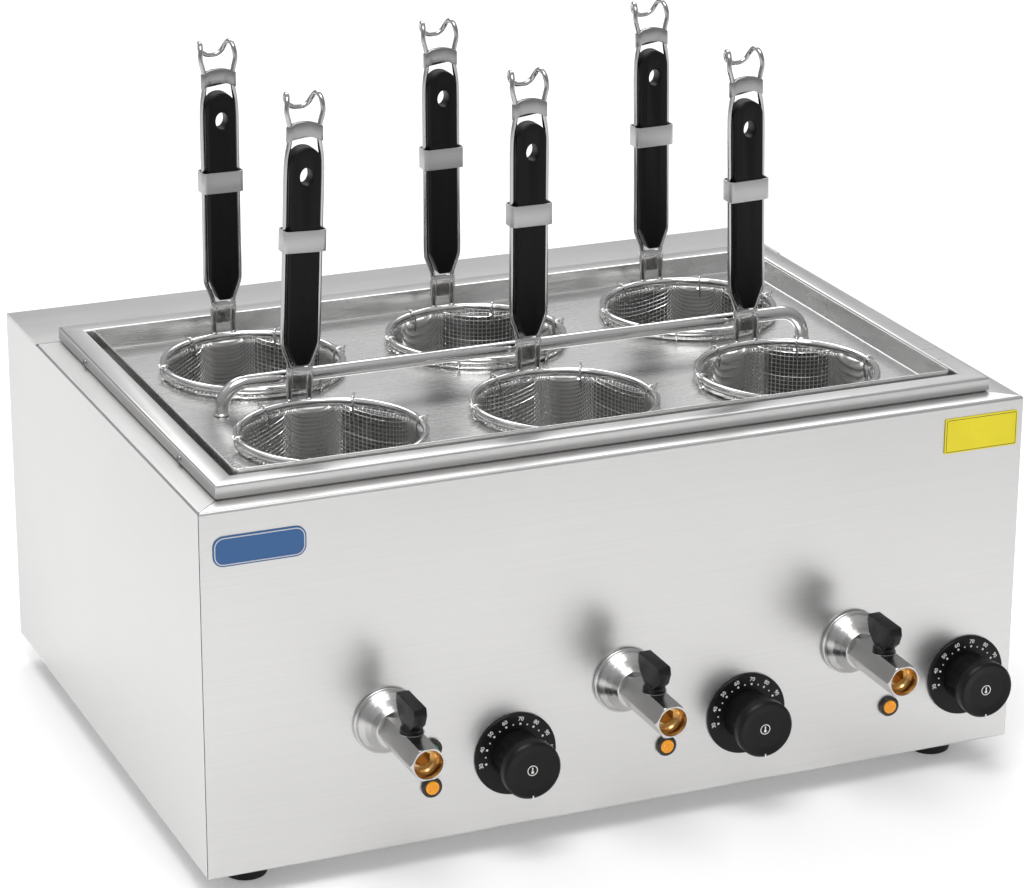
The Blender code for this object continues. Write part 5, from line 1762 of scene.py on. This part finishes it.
@dataclass
class Trim:
    """The cable gland behind, and the blank badge and plate in front."""

    gland_place: tuple[float, float, float] = (200.0, 435.0, 42.0)
    gland_reach: float = 22.0
    badge_centre: tuple[float, float] = (-250.8, 222.0)
    badge_size: tuple[float, float] = (61.0, 20.0)
    plate_centre: tuple[float, float] = (258.15, 227.75)
    plate_size: tuple[float, float] = (55.1, 24.5)
    thickness: float = 0.6
    gap: float = 0.3

    def gland(self) -> bmesh.types.BMesh:
        """Turn the gland's nut, ribbed cap and bore."""
        nut = prism_z(circle((0.0, 0.0), 12.0, 6), 0.3, 7.3)
        shape = lathe([(0.0, 0.0), (11.2, 0.0), (12.4, 1.4), (12.4, 6.2), (11.0, 7.3), (0.0, 7.3)], 64)
        nut = carved(nut, shape, "INTERSECT")
        reach = self.gland_reach
        cap = lathe(
            rounded(
                [(0.0, 7.0), (9.5, 7.0), (9.5, 15.5), (6.5, reach), (0.0, reach)],
                [0.0, 0.0, 2.5, 1.4, 0.0],
                5,
            ),
            48,
        )
        for index in range(12):
            groove = prism_z(circle((9.9, 0.0), 0.8, 8), 8.0, 16.0)
            cap = carved(cap, moved(groove, Matrix.Rotation(math.tau * index / 12, 4, "Z")))
        stem = disc(8.0, -11.2, 0.6, 40)
        return gathered(*[carved(part, disc(4.0, -20.0, 40.0, 32)) for part in (nut, cap, stem)])

    def label(self, size: Point, radius: float) -> bmesh.types.BMesh:
        """Cut one blank plate that faces the front."""
        half_x = size[0] / 2
        half_z = size[1] / 2
        outline = round_rectangle((-half_x, -half_z), (half_x, half_z), radius, 8)
        face = self.gap + self.thickness
        corners = [(2.0, self.gap), (0.0, self.gap), (0.0, face), (2.0, face)]
        section = rounded(corners, [0.0, 0.05, 0.25, 0.0], 3)
        section = [(min(inward, radius - 0.1), z) for inward, z in section]
        return swept(outline, section, closed=False)

    def frame(self, size: Point, radius: float, inset: float, width: float) -> bmesh.types.BMesh:
        """Print the thin line round a plate's face."""
        half_x = size[0] / 2 - inset
        half_z = size[1] / 2 - inset
        outline = round_rectangle((-half_x, -half_z), (half_x, half_z), radius, 8)
        level = self.gap + self.thickness
        return swept(outline, box_outline((0.0, level - 0.05), (width, level + 0.05)), closed=True)

    def build(self, shop: Workshop) -> None:
        """Add the gland, the badge and the plate."""
        finishes = shop.finishes
        place = Matrix.Translation(Vector(self.gland_place)) @ BACK
        black = finishes.plastic
        nodes = ["cable_gland"]
        shop.finish(self.gland(), "lead_gland", black, "casing", nodes, place=place)
        place = Matrix.Translation((self.badge_centre[0], 0.0, self.badge_centre[1])) @ FRONT
        blank = self.label(self.badge_size, 7.0)
        shop.finish(blank, "blank_badge", finishes.badge, "casing", ["front_badge"], place=place)
        line = self.frame(self.badge_size, 6.2, 0.9, 0.7)
        shop.finish(line, "badge_border", finishes.band, "casing", place=place)
        place = Matrix.Translation((self.plate_centre[0], 0.0, self.plate_centre[1])) @ FRONT
        blank = self.label(self.plate_size, 1.5)
        shop.finish(blank, "blank_plate", finishes.plate, "casing", ["info_plate"], place=place)
        line = self.frame(self.plate_size, 0.6, 1.0, 0.35)
        shop.finish(line, "plate_border", black, "casing", place=place)


@dataclass
class Studio:
    """A pale floor, soft lights and the camera of the photograph."""

    azimuth: float = 23.118
    elevation: float = 19.842
    roll: float = 0.2605
    lens: float = 124.96
    position: tuple[float, float, float] = (-0.9076, -2.1251, 1.0424)

    def camera(self) -> None:
        """Set up the camera."""
        azimuth = math.radians(self.azimuth)
        elevation = math.radians(self.elevation)
        roll = math.radians(self.roll)
        level = math.cos(elevation)
        forward = Vector((math.sin(azimuth) * level, math.cos(azimuth) * level, -math.sin(elevation)))
        right = forward.cross(Vector((0.0, 0.0, 1.0))).normalized()
        up = right.cross(forward)
        turned_right = math.cos(roll) * right + math.sin(roll) * up
        turned_up = -math.sin(roll) * right + math.cos(roll) * up
        data = bpy.data.cameras.new("camera")
        data.lens = self.lens
        data.sensor_width = 36.0
        data.clip_end = 100.0
        item = bpy.data.objects.new("camera", data)
        axes = Matrix((turned_right, turned_up, -forward)).transposed().to_4x4()
        item.matrix_world = Matrix.Translation(Vector(self.position)) @ axes
        bpy.context.scene.collection.objects.link(item)
        bpy.context.scene.camera = item

    def floor(self) -> None:
        """Lay the pale floor."""
        bm = bmesh.new()
        bmesh.ops.create_grid(bm, x_segments=1, y_segments=1, size=9.0)
        mesh = bpy.data.meshes.new("floor")
        bm.to_mesh(mesh)
        bm.free()
        recipe = Recipe("floor_white")
        cloud = recipe.noise((0.6, 0.6, 0.6), 1.0)
        tone = recipe.blend(cloud, (0.83, 0.83, 0.83), (0.85, 0.85, 0.85))
        values = {"Base Color": tone, "Roughness": 0.9, "Specular IOR Level": 0.1}
        glow = {"Emission Color": (1.0, 1.0, 1.0, 1.0), "Emission Strength": 0.2}
        mesh.materials.append(recipe.shade({**values, **glow}))
        item = bpy.data.objects.new("floor", mesh)
        bpy.context.scene.collection.objects.link(item)

    def world(self) -> None:
        """Give the room its soft light, greyer towards the horizon."""
        world = bpy.data.worlds.new("studio")
        world.use_nodes = True
        tree = world.node_tree
        background = tree.nodes["Background"]
        place = tree.nodes.new("ShaderNodeTexCoord")
        parts = tree.nodes.new("ShaderNodeSeparateXYZ")
        ramp = tree.nodes.new("ShaderNodeValToRGB")
        Recipe.fill_ramp(
            ramp.color_ramp,
            [
                (0.0, (0.3, 0.3, 0.305)),
                (0.12, (0.34, 0.34, 0.345)),
                (0.4, (0.4, 0.4, 0.405)),
                (0.8, (0.55, 0.55, 0.55)),
            ],
        )
        tree.links.new(place.outputs["Generated"], parts.inputs[0])
        tree.links.new(parts.outputs[2], ramp.inputs[0])
        tree.links.new(ramp.outputs[0], background.inputs["Color"])
        background.inputs["Strength"].default_value = 1.0
        bpy.context.scene.world = world

    def light(self, name: str, place: Point, aim: Point, size: Point, power: float) -> None:
        """Hang one soft rectangular light.

        Args:
            name: of the light.
            place: where it hangs, in metres.
            aim: what it faces.
            size: its width and height.
            power: in watts.
        """
        data = bpy.data.lights.new(name, "AREA")
        data.shape = "RECTANGLE"
        data.size = size[0]
        data.size_y = size[1]
        data.energy = power
        item = bpy.data.objects.new(name, data)
        item.location = place
        item.rotation_euler = (Vector(aim) - Vector(place)).to_track_quat("-Z", "Y").to_euler()
        bpy.context.scene.collection.objects.link(item)

    def build(self) -> None:
        """Set up the whole studio."""
        self.camera()
        self.floor()
        self.world()
        self.light("key", (-0.5, -1.1, 2.3), (-0.1, -0.5, 0.0), (1.5, 1.2), 36.0)
        self.light("side", (-2.0, 0.5, 2.2), (-0.6, 0.3, 0.0), (1.2, 1.2), 2.0)
        self.light("backdrop", (0.8, 2.8, 3.0), (0.8, 2.4, 0.0), (4.0, 2.4), 95.0)
        bpy.context.scene.view_settings.view_transform = "Standard"


@dataclass
class Baskets:
    """The six baskets in the tray."""

    columns: tuple[float, ...] = (-165.0, 0.0, 165.0)
    rows: tuple[float, ...] = (103.0, 258.0)
    turns: tuple[float, ...] = (38.0, 22.0, 58.0, 45.0, 66.0, 14.0)
    leans: tuple[float, ...] = (2.2, 0.0, -1.6, 0.2, -0.4, -1.0)

    def places(self) -> list[Point]:
        """Return the baskets' axes, front row first."""
        return [(x, y) for y in self.rows for x in self.columns]

    def build(self, shop: Workshop) -> None:
        """Add all the baskets."""
        net = WireNet().shape()
        LOG.info("net: %d faces", len(net.faces))
        for number, place in enumerate(self.places(), start=1):
            turn = self.turns[number - 1]
            Basket().build(shop, number, place, net, turn, self.leans[number - 1])
        net.free()


def main() -> None:
    """Build the cooker and its studio."""
    logging.basicConfig(level=logging.INFO, format="%(message)s")
    shop = Workshop(Finishes.make())
    baskets = Baskets()
    Casing().build(shop)
    Tank().build(shop)
    Insert().build(shop, baskets.places())
    baskets.build(shop)
    Stations().build(shop)
    Trim().build(shop)
    Studio().build()
    LOG.info("%d pieces", shop.made)


if __name__ == "__main__":
    main()
